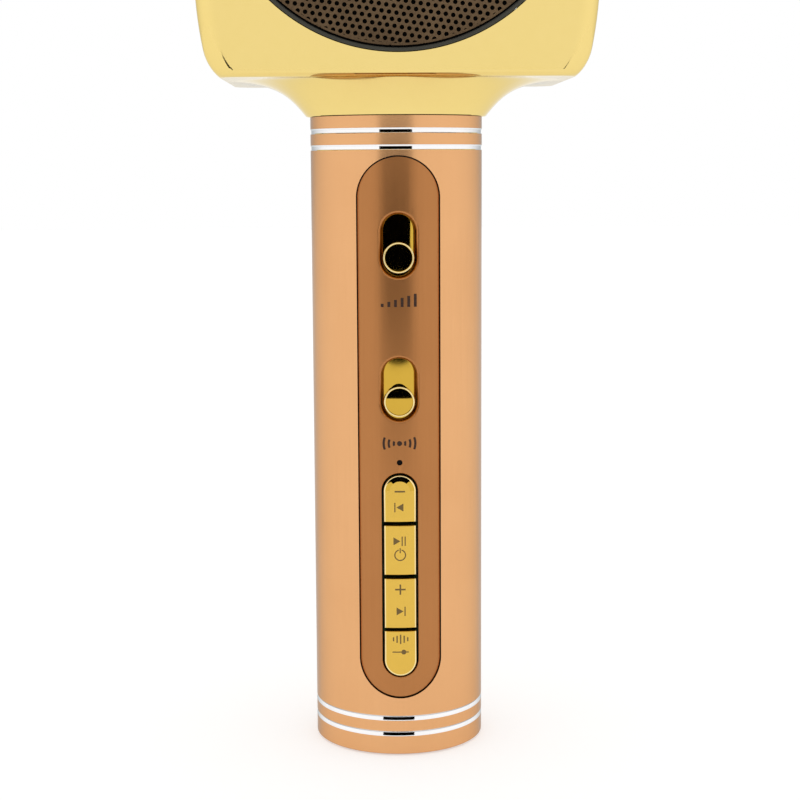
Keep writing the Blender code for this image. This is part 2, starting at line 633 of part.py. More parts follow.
def make_bottom_cap(shop):
    """The cap that closes the tube, its two screws, the port board and the three sockets."""
    skirt = CAP_RADIUS - CAP_SKIRT_WALL
    profile = [
        (CAP_RADIUS, CAP_SKIRT_TOP),
        (CAP_RADIUS, CAP_EDGE),
        (CAP_RADIUS - CAP_EDGE, 0),
        (0, 0),
        (0, CAP_FLOOR),
        (skirt, CAP_FLOOR),
        (skirt, CAP_SKIRT_TOP),
    ]
    cap = shop.turned("bottom_cap", profile, "dark_plastic", PLAIN)
    low, high = PORT_BOARD_SPAN
    board = shop.cylinder("port_board", PORT_BOARD_RADIUS, low, high, "circuit_board", 24)
    for name, side in (("front", -1), ("rear", 1)):
        place = (0, side * CAP_SCREW_OFFSET, 0)
        sink = [
            (0, CAP_SKIRT_TOP),
            (CAP_SCREW_WAY, CAP_SKIRT_TOP),
            (CAP_SCREW_WAY, CAP_SINK_DEPTH),
            (CAP_SINK_RADIUS, CAP_SINK_DEPTH),
            (CAP_SINK_RADIUS, -MM),
            (0, -MM),
        ]
        sink = shop.turned(name + "_screw_sink", sink, steps=SMALL, closed=False)
        sink.location = place
        shop.cut(cap, sink)
        shop.cut(board, sink)
        seat, tip = CAP_SCREW_SPAN
        screw = make_screw(shop, "cap_screw_" + name, CAP_SCREW, -seat, -tip)
        screw.matrix_world = Matrix.Translation(place) @ Matrix.Rotation(math.pi, 4, "X")

    def socket_box(name, centre, size, bottom, top, material=None):
        x, wide, deep = centre, size[0] / 2, size[1] / 2
        return shop.box(name, (x - wide, -deep, bottom), (x + wide, deep, top), material)

    def opening(name, centre, size):
        wider = (size[0] + 2 * GAP, size[1] + 2 * GAP)
        shop.cut(cap, socket_box(name, centre, wider, -MM, SOCKET_TOP))

    for name, centre, size, mouth in (
        ("charge", 0.0, CHARGE_SIZE, CHARGE_MOUTH),
        ("card", CARD_OFFSET, CARD_SIZE, CARD_MOUTH),
    ):
        opening(name + "_opening", centre, size)
        socket = socket_box(name + "_socket", centre, size, SOCKET_RECESS, SOCKET_TOP, "steel")
        shop.cut(socket, socket_box(name + "_mouth", centre, mouth, -MM, SOCKET_MOUTH_TOP))

    body_low = CAP_FLOOR + GAP
    audio = socket_box(
        "audio_socket", AUDIO_OFFSET, (AUDIO_BODY, AUDIO_BODY), body_low, SOCKET_TOP, "dark_plastic"
    )
    neck = shop.cylinder("audio_neck", AUDIO_NECK_RADIUS, SOCKET_RECESS, SOCKET_TOP - GAP, steps=24)
    bore = shop.cylinder("audio_bore", AUDIO_BORE_RADIUS, -MM, SOCKET_MOUTH_TOP, steps=24)
    way = shop.cylinder("audio_opening", AUDIO_NECK_RADIUS + GAP, -MM, SOCKET_TOP, steps=24)
    for item in (neck, bore, way):
        item.location = (AUDIO_OFFSET, 0, 0)
    shop.join(audio, neck)
    shop.cut(audio, bore)
    shop.cut(cap, way)


def bezier(controls, t):
    """A cubic curve through four control values, at t from 0 to 1."""
    a, b, c, d = controls
    u = 1 - t
    return a * u**3 + 3 * b * u * u * t + 3 * c * u * t * t + d * t**3


def ring_angles():
    """The directions in which every ring of the head has a point: closer together at the corners."""
    wide, deep = CORNER_CENTRE[0] + CORNER_RADIUS, HEAD_HALF_DEPTH
    straight_x, straight_y = wide - HEAD_CORNER, deep - HEAD_CORNER
    quarter = [(wide, straight_y * i / 2) for i in range(2)]
    for i in range(4):
        turn = math.radians(30 * i)
        x = straight_x + HEAD_CORNER * math.cos(turn)
        quarter.append((x, straight_y + HEAD_CORNER * math.sin(turn)))
    quarter += [(straight_x * (1 - i / 4), deep) for i in range(1, 4)]
    angles = [math.atan2(y, x) for x, y in quarter]
    half = angles + [math.pi / 2] + [math.pi - angle for angle in reversed(angles[1:])]
    return half + [angle + math.pi for angle in half]


def rounded_reach(angle, half_width, half_depth, corner):
    """How far a rounded rectangle reaches in a direction."""
    across, along = abs(math.cos(angle)), abs(math.sin(angle))
    reach = min(half_width / max(across, 1e-9), half_depth / max(along, 1e-9))
    middle_x, middle_y = half_width - corner, half_depth - corner
    if reach * across > middle_x and reach * along > middle_y:
        ahead = middle_x * across + middle_y * along
        reach = ahead + math.sqrt(ahead**2 - middle_x**2 - middle_y**2 + corner**2)
    return reach


def oval_reach(angle, half_width, half_depth, power):
    """How far an oval reaches in a direction: an ellipse at power 2, squarer above it."""
    across = abs(math.cos(angle)) / half_width
    along = abs(math.sin(angle)) / half_depth
    return (across**power + along**power) ** (-1 / power)


def ring_at(height, reach):
    """A ring of points at this height, reach(angle) away from the axis."""
    return [(reach(a) * math.cos(a), reach(a) * math.sin(a), height) for a in ring_angles()]


def head_half_width(height):
    """Half the width of the head: a corner arc, a long side arc, then straight, mirrored above."""
    z = SPEAKER_HEIGHT - abs(height - SPEAKER_HEIGHT)
    if z < CORNER_TOP:
        x, level = CORNER_CENTRE
        return x + math.sqrt(CORNER_RADIUS**2 - (level - z) ** 2)
    x, level = SIDE_CENTRE
    return x + math.sqrt(SIDE_RADIUS**2 - max(0.0, level - z) ** 2)


def head_half_depth(height):
    """Half the depth of the head, which rolls in at its lower and upper edge."""
    inward, tall = HEAD_ROLL
    edge = SPEAKER_HEIGHT - abs(height - SPEAKER_HEIGHT) - HEAD_BOTTOM
    if edge >= tall:
        return HEAD_HALF_DEPTH
    return HEAD_HALF_DEPTH - inward + inward * math.sqrt(1 - ((tall - edge) / tall) ** 2)


def head_rings(inset):
    """Rings up the head, each brought in by the inset, its ends too."""
    low = [HEAD_BOTTOM + rise for rise in HEAD_RISES]
    levels = low + [2 * SPEAKER_HEIGHT - z for z in reversed(low)]
    shrink = (SPEAKER_HEIGHT - HEAD_BOTTOM - inset) / (SPEAKER_HEIGHT - HEAD_BOTTOM)
    rings = []
    for z in levels:
        crown = CROWN_RADII[1] if inset == 0 and z > HEAD_TOP - MM else 0.0
        size = (head_half_width(z) - inset, head_half_depth(z) - inset, HEAD_CORNER - inset)


        def reach(angle, size=size, crown=crown):
            return max(crown, rounded_reach(angle, *size))

        rings.append(ring_at(SPEAKER_HEIGHT + (z - SPEAKER_HEIGHT) * shrink, reach))
    return rings


def neck_rings():
    """Rings up the flared neck, from a circle to a broad oval under the head."""
    rings = []
    steps = 5
    for i in range(steps):
        t = i / steps
        size = (bezier(NECK_WIDTHS, t), bezier(NECK_DEPTHS, t), 2 + 0.6 * t)
        rings.append(ring_at(bezier(NECK_HEIGHTS, t), lambda a, size=size: oval_reach(a, *size)))
    return rings


def make_head_shells(shop):
    """The front and rear shell: one hollow body with a neck and a crown, split at the middle."""
    crown = [ring_at(CROWN_TOP, lambda a: CROWN_RADII[0])]
    outside = neck_rings() + head_rings(0) + crown
    reach = 3 * HEAD_HALF_DEPTH
    for name, side in (("front", -1), ("rear", 1)):
        shell = shop.loft("head_shell_" + name, outside, "gold_plating")
        hollow = shop.loft(name + "_hollow", head_rings(HEAD_WALL))
        shop.cut(shell, hollow)
        wall = CROWN_BORE + CROWN_WALL
        seat = [
            (wall, HEAD_TOP - HEAD_WALL / 2),
            (wall, LEDGE_SPAN[0]),
            (LEDGE_RADIUS, LEDGE_SPAN[0]),
            (LEDGE_RADIUS, LEDGE_SPAN[1]),
            (CROWN_BORE, LEDGE_SPAN[1]),
            (CROWN_BORE, HEAD_TOP - HEAD_WALL / 2),
        ]
        shop.join(shell, shop.turned(name + "_seat", seat))
        for place in ear_places(side):
            pad = shop.cylinder(f"{name}_pad_{place[2]}", EAR_RADIUS, FRAME_SPAN[3] + GAP, PAD_END)
            shop.join(shell, ear(pad, side, place))
        for bore, radius, ends in (
            ("_crown_bore", CROWN_BORE, (LEDGE_SPAN[1], 2 * CROWN_TOP)),
            ("_neck_bore", NECK_BORE, (0, HEAD_BOTTOM + 2 * HEAD_WALL)),
        ):
            shop.cut(shell, shop.cylinder(name + bore, radius, *ends, steps=ROUND))
        mouth = shop.cylinder(name + "_mouth_hole", OPENING_RADIUS, EAR_HOLE_SPAN[0], reach, steps=ROUND)
        shop.cut(shell, facing(mouth, side))
        for place in ear_places(side):
            hole = shop.hole(f"{name}_ear_pilot_{place[2]}", EAR_PILOT, *EAR_PILOT_SPAN)
            shop.cut(shell, ear(hole, side, place))
        pilot = shop.hole(name + "_ledge_pilot", BASKET_PILOT, *BASKET_PILOT_SPAN)
        pilot.location = (0, side * BASKET_SCREW_OFFSET, 0)
        shop.cut(shell, pilot)
        near, far = sorted((side * GAP / 2, side * reach))
        shop.keep(shell, shop.box(name + "_side", (-reach, near, 0), (reach, far, 2 * CROWN_TOP)))


def ear_places(side):
    """The two corners where a speaker is screwed down: (across, up, name)."""
    diagonal = EAR_DISTANCE / math.sqrt(2)
    return ((side * diagonal, diagonal, "upper"), (-side * diagonal, -diagonal, "lower"))


def ear(item, side, place):
    """Turns a piece made along +Z to point out of the head at a speaker's ear."""
    across, up, _ = place
    item.matrix_world = Matrix.Translation((across, 0, SPEAKER_HEIGHT + up)) @ Matrix.Rotation(
        -side * math.radians(90), 4, "X"
    )
    return item


def make_speaker(shop, name, side):
    """One loudspeaker with its grille, trim ring, cloth, frame, magnet, cone and screws."""
    back, ledge, front = TRIM_SPAN
    trim = [
        (TRIM_OUTER, front),
        (TRIM_OUTER, back),
        (TRIM_LEDGE, back),
        (TRIM_LEDGE, ledge),
        (TRIM_INNER, ledge),
        (TRIM_INNER, front),
    ]
    facing(shop.turned(name + "_trim_ring", trim, "dark_trim"), side)
    facing(shop.cylinder(name + "_grille", GRILLE_RADIUS, *GRILLE_SPAN, "grille_brown", ROUND), side)
    facing(shop.cylinder(name + "_dust_cloth", CLOTH_RADIUS, *CLOTH_SPAN, "black_cloth", PLAIN), side)

    rear, plate, neck, lip = FRAME_SPAN
    frame = [
        (FRAME_RADIUS, lip),
        (FRAME_RADIUS, neck),
        (FRAME_MOUTH, neck),
        (FRAME_BACK_RADIUS, rear),
        (FRAME_BORE, rear),
        (FRAME_BORE, plate),
        (FRAME_BACK_RADIUS - FRAME_SKIN / 2, plate),
        (FRAME_MOUTH - FRAME_SKIN, lip),
    ]
    basket = facing(shop.turned(name + "_speaker_frame", frame, "steel", PLAIN), side)
    for place in ear_places(side):
        lobe = shop.cylinder(f"{name}_ear_{place[2]}", EAR_RADIUS, neck, lip)
        shop.join(basket, ear(lobe, side, place))
    for place in ear_places(side):
        hole = shop.hole(f"{name}_ear_hole_{place[2]}", EAR_PILOT, *EAR_HOLE_SPAN)
        shop.cut(basket, ear(hole, side, place))
        label = f"{name}_speaker_screw_{place[2]}"
        ear(make_screw(shop, label, EAR_SCREW, -neck + GAP, -EAR_SCREW_TIP), -side, place)

    facing(shop.cylinder(name + "_speaker_magnet", MAGNET_RADIUS, *MAGNET_SPAN, "steel", 24), side)
    tail, throat, mouth = CONE_SPAN
    cone = [
        (0, throat + 4.5 * CONE_SKIN),
        (CONE_THROAT, throat + 2 * CONE_SKIN),
        (CONE_MOUTH, mouth + CONE_SKIN),
        (CONE_MOUTH, mouth),
        (CONE_THROAT, throat),
        (CONE_THROAT, tail),
        (CONE_THROAT - CONE_SKIN, tail),
        (CONE_THROAT - CONE_SKIN, throat + CONE_SKIN),
        (0, throat + 3 * CONE_SKIN),
    ]
    facing(shop.turned(name + "_speaker_cone", cone, "dark_plastic", PLAIN, closed=False), side)


def dome(radius, centre, low, steps):
    """(radius, height) points down a ball, from its top to the level low."""
    turns = [math.acos((low - centre) / radius) * i / steps for i in range(steps + 1)]
    return [(radius * math.sin(turn), centre + radius * math.cos(turn)) for turn in turns]


def make_basket(shop):
    """The ring, the mesh basket, its foam, the capsule with its mount, and the ring's screws."""
    bottom, web, shoulder, top = RING_SPAN
    ring = [
        (RING_OUTER, top),
        (RING_OUTER, shoulder),
        (RING_SPIGOT, shoulder),
        (RING_SPIGOT, bottom),
        (WEB_BORE, bottom),
        (WEB_BORE, web),
        (RING_BORE, web),
        (RING_BORE, top),
    ]
    ring = shop.turned("basket_ring", ring, "gold_plating", PLAIN)
    for name, side in (("front", -1), ("rear", 1)):
        place = (0, side * BASKET_SCREW_OFFSET, 0)
        hole = shop.hole(name + "_web_hole", BASKET_PILOT, *BASKET_PILOT_SPAN)
        hole.location = place
        shop.cut(ring, hole)
        screw = make_screw(shop, "basket_screw_" + name, BASKET_SCREW, web + GAP, LEDGE_SPAN[0] - MM)
        screw.location = place

    outer = dome(BASKET_RADIUS, BASKET_CENTRE, BASKET_BOTTOM, 7)
    inner = dome(BASKET_RADIUS - BASKET_WALL, BASKET_CENTRE, BASKET_BOTTOM, 7)
    shop.turned("mic_basket", outer + inner[::-1], "gold_plating", PLAIN, closed=False)
    outer = dome(FOAM_RADIUS, BASKET_CENTRE, BASKET_BOTTOM, 5)
    inner = dome(FOAM_RADIUS - FOAM_WALL, BASKET_CENTRE, BASKET_BOTTOM, 5)
    shop.turned("foam_liner", outer + inner[::-1], "foam", 24, closed=False)

    bore, body, collar = MOUNT_RADII
    low, seat, shelf, high = MOUNT_SPAN
    mount = [
        (body, high),
        (body, shelf),
        (collar, shelf),
        (collar, seat),
        (body, seat),
        (body, low),
        (bore, low),
        (bore, high),
    ]
    shop.turned("capsule_mount", mount, "rubber", 24)
    shop.cylinder("mic_capsule", CAPSULE_RADIUS, *CAPSULE_SPAN, "steel", 24)


def main():
    """Builds the whole microphone."""
    clear_scene()
    shop = Workshop(make_collection("karaoke_microphone"), make_collection("cutters"))
    make_handle(shop)
    make_light_pipe(shop)
    for name, middle in SLOT_CENTRES.items():
        make_slider(shop, name, middle)
    for name, (low, high) in BUTTON_SPANS.items():
        make_button(shop, name, low, high)
    make_chassis(shop)
    make_board_and_cell(shop)
    make_bottom_cap(shop)
    make_head_shells(shop)
    for name, side in (("front", -1), ("rear", 1)):
        make_speaker(shop, name, side)
    make_basket(shop)


if __name__ == "__main__":
    main()
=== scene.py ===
"""The looks of a karaoke microphone: a rose-gold tube handle, a bronze control panel with two
sliders and four push buttons, and a gold-plated speaker head with a mesh basket on top.

Each sub-assembly is a class that models its pieces, dresses them and hands them to the frame.
Sizes are in metres, in the frame's own axes: +Z up the handle, -Y towards the controls.
"""

import enum
import logging
import math
from dataclasses import dataclass, field
from typing import Any, Callable, Iterable, Mapping, Sequence

import bmesh
import bpy
from mathutils import Matrix, Vector

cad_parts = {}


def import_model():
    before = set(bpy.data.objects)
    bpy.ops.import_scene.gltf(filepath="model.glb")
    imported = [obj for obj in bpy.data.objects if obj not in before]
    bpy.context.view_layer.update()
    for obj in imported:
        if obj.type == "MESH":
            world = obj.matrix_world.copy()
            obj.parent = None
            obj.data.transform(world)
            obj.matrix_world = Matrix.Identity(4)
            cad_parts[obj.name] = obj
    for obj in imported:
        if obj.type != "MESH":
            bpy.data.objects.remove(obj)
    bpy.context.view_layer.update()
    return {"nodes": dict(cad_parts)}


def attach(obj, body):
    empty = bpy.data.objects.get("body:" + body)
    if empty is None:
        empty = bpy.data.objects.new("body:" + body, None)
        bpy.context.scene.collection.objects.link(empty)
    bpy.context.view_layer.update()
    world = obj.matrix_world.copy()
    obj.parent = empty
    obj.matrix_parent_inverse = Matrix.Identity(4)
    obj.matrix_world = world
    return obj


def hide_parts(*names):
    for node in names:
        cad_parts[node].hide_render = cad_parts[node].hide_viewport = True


LOG = logging.getLogger("karaoke_microphone")
MM = 0.001

Point = tuple[float, float, float]
Colour = tuple[float, float, float]
Span = tuple[float, float]
Profile = Sequence[Span]
Mesh = bpy.types.Object


class Side(enum.Enum):
    """Which face of the head a piece belongs to; the value is the sign of its outward Y."""

    FRONT = -1
    REAR = 1

    @property
    def label(self) -> str:
        """The side's name as node names spell it."""
        return self.name.lower()


class Cut(enum.Enum):
    """What a Boolean does with its second solid."""

    AWAY = "DIFFERENCE"
    SHARED = "INTERSECT"
    JOINED = "UNION"


# ---------------------------------------------------------------------------------------------
# Shader maths
# ---------------------------------------------------------------------------------------------


class Shade:
    """A number on a material's surface that takes part in Python arithmetic."""

    def __init__(self, recipe: "Recipe", socket: bpy.types.NodeSocket) -> None:
        """Wraps an output socket of the recipe's node tree."""
        self.recipe = recipe
        self.socket = socket

    def _with(self, operation: str, first: Any, second: Any = 0.0, clamp: bool = False) -> "Shade":
        """Adds one Math node and returns its result."""
        settings = {"operation": operation, "use_clamp": clamp}
        return self.recipe.node("ShaderNodeMath", settings, {0: first, 1: second})

    def __add__(self, other: Any) -> "Shade":
        """Returns self + other."""
        return self._with("ADD", self, other)

    __radd__ = __add__

    def __sub__(self, other: Any) -> "Shade":
        """Returns self - other."""
        return self._with("SUBTRACT", self, other)

    def __rsub__(self, other: Any) -> "Shade":
        """Returns other - self."""
        return self._with("SUBTRACT", other, self)

    def __mul__(self, other: Any) -> "Shade":
        """Returns self * other."""
        return self._with("MULTIPLY", self, other)

    __rmul__ = __mul__

    def __truediv__(self, other: Any) -> "Shade":
        """Returns self / other."""
        return self._with("DIVIDE", self, other)

    def __pow__(self, other: Any) -> "Shade":
        """Returns self raised to other."""
        return self._with("POWER", self, other)

    def __gt__(self, other: Any) -> "Shade":
        """Returns 1 where self is above other, else 0."""
        return self._with("GREATER_THAN", self, other)

    def __lt__(self, other: Any) -> "Shade":
        """Returns 1 where self is below other, else 0."""
        return self._with("LESS_THAN", self, other)

    def __abs__(self) -> "Shade":
        """Returns the size of self without its sign."""
        return self._with("ABSOLUTE", self)

    def clamped(self) -> "Shade":
        """Returns self held between 0 and 1."""
        return self._with("ADD", self, 0.0, clamp=True)


class Recipe:
    """A procedural material under construction round one Principled shader."""

    def __init__(self, name: str) -> None:
        """Starts an empty material of this name."""
        self.material = bpy.data.materials.new(name)
        self.material.use_nodes = True
        self.tree = self.material.node_tree
        self.shader = self.tree.nodes["Principled BSDF"]

    def node(
        self,
        kind: str,
        settings: Mapping[str, Any] | None = None,
        inputs: Mapping[int | str, Any] | None = None,
        output: int | str = 0,
    ) -> Shade:
        """Adds a node.

        Args:
            kind: the node's type.
            settings: its properties, set before its sockets.
            inputs: a value or a link for each input socket, by number or name.
            output: which output to return.

        Returns:
            The chosen output.
        """
        made = self.tree.nodes.new(kind)
        for key, value in (settings or {}).items():
            setattr(made, key, value)
        for key, value in (inputs or {}).items():
            self.feed(made.inputs[key], value)
        return Shade(self, made.outputs[output])

    def feed(self, socket: bpy.types.NodeSocket, value: Any) -> None:
        """Sets an input socket to a value, or links it to a shade.

        Args:
            socket: the input that is fed.
            value: a number, a colour or a shade.
        """
        if isinstance(value, Shade):
            self.tree.links.new(value.socket, socket)
        elif socket.type == "RGBA" and len(value) == 3:
            socket.default_value = (*value, 1.0)
        else:
            socket.default_value = value

    def place(self) -> Shade:
        """Returns the point on the surface, in the object's own metres."""
        return self.node("ShaderNodeTexCoord", output="Object")

    def stretched(self, scale: Point) -> Shade:
        """Returns the surface point with each axis scaled, to draw a pattern out along one."""
        return self.node("ShaderNodeMapping", inputs={"Vector": self.place(), "Scale": scale})

    def split(self, vector: Shade) -> list[Shade]:
        """Returns the x, y and z of a vector."""
        made = self.node("ShaderNodeSeparateXYZ", inputs={0: vector})
        return [Shade(self, output) for output in made.socket.node.outputs]

    def noise(self, vector: Shade, scale: float, detail: float = 3.0, rough: float = 0.55) -> Shade:
        """Returns fractal noise from 0 to 1, about 0.5 on average."""
        inputs = {"Vector": vector, "Scale": scale, "Detail": detail, "Roughness": rough}
        return self.node("ShaderNodeTexNoise", inputs=inputs)

    def blend(self, mask: Any, low: Any, high: Any) -> Shade:
        """Mixes two colours.

        Args:
            mask: a shade or a number from 0 to 1.
            low: the colour where the mask is 0.
            high: the colour where it is 1.

        Returns:
            The mixed colour.
        """
        made = self.tree.nodes.new("ShaderNodeMix")
        made.data_type = "RGBA"
        for index, value in ((0, mask), (6, low), (7, high)):
            self.feed(made.inputs[index], value)
        return Shade(self, made.outputs[2])

    def grain(self, height: Shade, strength: float, distance: float) -> Shade:
        """Returns a normal that the height pushes in and out."""
        inputs = {"Height": height, "Strength": strength, "Distance": distance}
        return self.node("ShaderNodeBump", inputs=inputs)

    def finished(self, **sockets: Any) -> bpy.types.Material:
        """Finishes the material.

        Args:
            sockets: the shader's sockets, with underscores for spaces, and their values.

        Returns:
            The finished material.
        """
        for key, value in sockets.items():
            self.feed(self.shader.inputs[key.replace("_", " ")], value)
        return self.material


# ---------------------------------------------------------------------------------------------
# Finishes
# ---------------------------------------------------------------------------------------------


@dataclass(frozen=True)
class Anodised:
    """Satin anodised aluminium with fine brushing along the tube."""

    name: str
    colour: Colour
    deep: Colour
    roughness: float
    bright_rings: tuple[float, ...] = ()
    ring_width: float = 1.15 * MM
    silver: Colour = (0.91, 0.90, 0.90)
    edge_tint: Colour = (0.58, 0.62, 0.64)

    def make(self) -> bpy.types.Material:
        """Builds the material: streaks along Z, a faint cloudiness, and bright turned rings."""
        recipe = Recipe(self.name)
        streaks = recipe.noise(recipe.stretched((1, 1, 0.02)), 2600, 2)
        clouds = recipe.noise(recipe.place(), 55, 3)
        tint = ((streaks - 0.5) * 0.3 + (clouds - 0.5) * 0.7 + 0.35).clamped()
        colour = recipe.blend(tint, self.colour, self.deep)
        roughness = self.roughness + (streaks - 0.5) * 0.09
        if self.bright_rings:
            z = recipe.split(recipe.place())[2]
            mask: Any = 0.0
            for top in self.bright_rings:
                middle = top - self.ring_width / 2
                mask = (abs(z - middle) < self.ring_width / 2) + mask
            mask = mask.clamped()
            turning = recipe.noise(recipe.stretched((0.02, 0.02, 1)), 9000, 1)
            colour = recipe.blend(mask, colour, self.silver)
            roughness = roughness * (1 - mask) + mask * (0.03 + turning * 0.04)
        bump = recipe.grain(streaks, 0.12, 0.02 * MM)
        surface = {"Base_Color": colour, "Roughness": roughness, "Normal": bump}
        return recipe.finished(Metallic=1.0, Specular_Tint=self.edge_tint, **surface)


@dataclass(frozen=True)
class Plated:
    """Mirror or satin gold plating on moulded plastic, with the mould's faint waviness."""

    name: str
    colour: Colour
    deep: Colour
    roughness: float
    wave: float = 0.03
    edge_tint: Colour = (0.84, 0.80, 0.66)

    def make(self) -> bpy.types.Material:
        """Builds the material: slow waves, hairline wear in the gloss, a slight drift in tint."""
        recipe = Recipe(self.name)
        waves = recipe.noise(recipe.place(), 26, 1)
        haze = recipe.noise(recipe.place(), 420, 4, 0.65)
        tint = ((waves - 0.5) * 0.9 + (haze - 0.5) * 0.4 + 0.3).clamped()
        colour = recipe.blend(tint, self.colour, self.deep)
        roughness = (self.roughness + (haze - 0.5) * 0.05).clamped()
        bump = recipe.grain(waves, self.wave, 0.4 * MM)
        surface = {"Base_Color": colour, "Roughness": roughness, "Normal": bump}
        return recipe.finished(Metallic=1.0, Specular_Tint=self.edge_tint, **surface)


@dataclass(frozen=True)
class Lacquered:
    """Metallic lacquer on pressed steel, speckled and paler in random clouds."""

    name: str
    colour: Colour
    flake: Colour
    roughness: float
    metallic: float

    def make(self) -> bpy.types.Material:
        """Builds the material: fine flakes over a cloudy ground."""
        recipe = Recipe(self.name)
        flakes = recipe.noise(recipe.place(), 2400, 2)
        clouds = recipe.noise(recipe.place(), 90, 3)
        tint = ((flakes - 0.5) * 1.2 + (clouds - 0.5) * 1.4 + 0.35).clamped()
        colour = recipe.blend(tint, self.colour, self.flake)
        roughness = (self.roughness + (clouds - 0.5) * 0.2).clamped()
        bump = recipe.grain(flakes, 0.15, 0.02 * MM)
        surface = {"Base_Color": colour, "Roughness": roughness, "Normal": bump}
        return recipe.finished(Metallic=self.metallic, **surface)


@dataclass(frozen=True)
class Moulded:
    """Moulded plastic, rubber, foam, cloth or board with a fine texture of its own."""

    name: str
    colour: Colour
    worn: Colour
    roughness: float
    pitch: float = 900.0
    depth: float = 0.03 * MM
    metallic: float = 0.0
    shine: float = 0.5

    def make(self) -> bpy.types.Material:
        """Builds the material: spark-eroded grain and a paler tone where the grain and a larger
        patch noise run high.
        """
        recipe = Recipe(self.name)
        texture = recipe.noise(recipe.place(), self.pitch, 3)
        patches = recipe.noise(recipe.place(), 70, 3)
        worn = (texture * 0.5 + patches * 0.6 - 0.1).clamped()
        colour = recipe.blend(worn, self.colour, self.worn)
        roughness = (self.roughness + (texture - 0.5) * 0.2).clamped()
        bump = recipe.grain(texture, 0.35, self.depth)
        surface = {"Base_Color": colour, "Roughness": roughness, "Normal": bump}
        shine = {"Metallic": self.metallic, "Specular_IOR_Level": self.shine}
        return recipe.finished(**shine, **surface)


@dataclass(frozen=True)
class Printed:
    """Dark ink printed on a metal surface, slightly matt and uneven."""

    name: str
    colour: Colour
    thin: Colour

    def make(self) -> bpy.types.Material:
        """Builds the material: solid ink that thins out in specks."""
        recipe = Recipe(self.name)
        specks = recipe.noise(recipe.place(), 5200, 2)
        colour = recipe.blend(((specks - 0.5) * 2.2 + 0.3).clamped(), self.colour, self.thin)
        roughness = 0.42 + specks * 0.2
        return recipe.finished(Base_Color=colour, Roughness=roughness, Specular_IOR_Level=0.15)


RING_TOPS = (137.76 * MM, 134.22 * MM, 9.15 * MM, 5.60 * MM)

ROSE_GOLD = Anodised("rose_gold_anodising", (0.79, 0.43, 0.20), (0.69, 0.35, 0.15), 0.23, RING_TOPS)
BRONZE = Anodised("bronze_anodising", (0.48, 0.205, 0.072), (0.40, 0.165, 0.054), 0.30)
GOLD = Plated("gold_plating", (0.86, 0.665, 0.25), (0.82, 0.625, 0.205), 0.075)
KNOB_GOLD = Plated("slider_plating", (0.64, 0.40, 0.055), (0.57, 0.35, 0.042), 0.05)
# Paler gold for the knob rims and button bevels: a painted highlight that stands in for bright
# reflections, not a different plating.
HIGHLIGHT_GOLD = Plated("bright_edges", (0.97, 0.80, 0.40), (0.93, 0.74, 0.33), 0.12)
BUTTON_GOLD = Plated("button_plating", (0.74, 0.475, 0.085), (0.68, 0.43, 0.072), 0.22, 0.05)
WIRE_GOLD = Plated("basket_wire", (0.84, 0.65, 0.27), (0.76, 0.56, 0.20), 0.16, 0.02)
TRIM_GREY = Moulded("trim_lacquer", (0.016, 0.015, 0.008), (0.032, 0.029, 0.016), 0.30, 700)
GRILLE_BROWN = Lacquered("grille_lacquer", (0.092, 0.055, 0.027), (0.18, 0.115, 0.058), 0.42, 0.75)
CLOTH_BLACK = Moulded(
    "dust_cloth", (0.003, 0.003, 0.003), (0.006, 0.005, 0.004), 0.95, 2600, 0.08 * MM, shine=0.1
)
PLASTIC_BLACK = Moulded("moulded_plastic", (0.018, 0.018, 0.018), (0.034, 0.034, 0.034), 0.55)
FOAM_DARK = Moulded("open_foam", (0.012, 0.012, 0.012), (0.03, 0.03, 0.03), 0.95, 1500, 0.2 * MM)
RUBBER_BLACK = Moulded("rubber", (0.012, 0.012, 0.012), (0.022, 0.022, 0.022), 0.8, 500)
BOARD_GREEN = Moulded("solder_mask", (0.012, 0.12, 0.045), (0.02, 0.17, 0.06), 0.4, 400)
NICKEL = Moulded("nickel_plate", (0.62, 0.61, 0.58), (0.5, 0.49, 0.46), 0.26, 1800, 0.01 * MM, 1.0)
CELL_BLUE = Moulded("cell_wrap", (0.03, 0.10, 0.36), (0.05, 0.14, 0.45), 0.34, 200)
# The clear light pipe is coloured near-black with almost no shine: painted shade that makes the
# light hole in front of it look dark.
PAINTED_SHADE_PIPE = Moulded(
    "light_pipe", (0.004, 0.003, 0.003), (0.008, 0.006, 0.006), 0.3, 300, shine=0.05
)
INK = Printed("panel_ink", (0.030, 0.016, 0.011), (0.07, 0.035, 0.022))
ETCH = Printed("button_ink", (0.14, 0.090, 0.030), (0.22, 0.145, 0.05))


# ---------------------------------------------------------------------------------------------
# Modelling by hand
# ---------------------------------------------------------------------------------------------


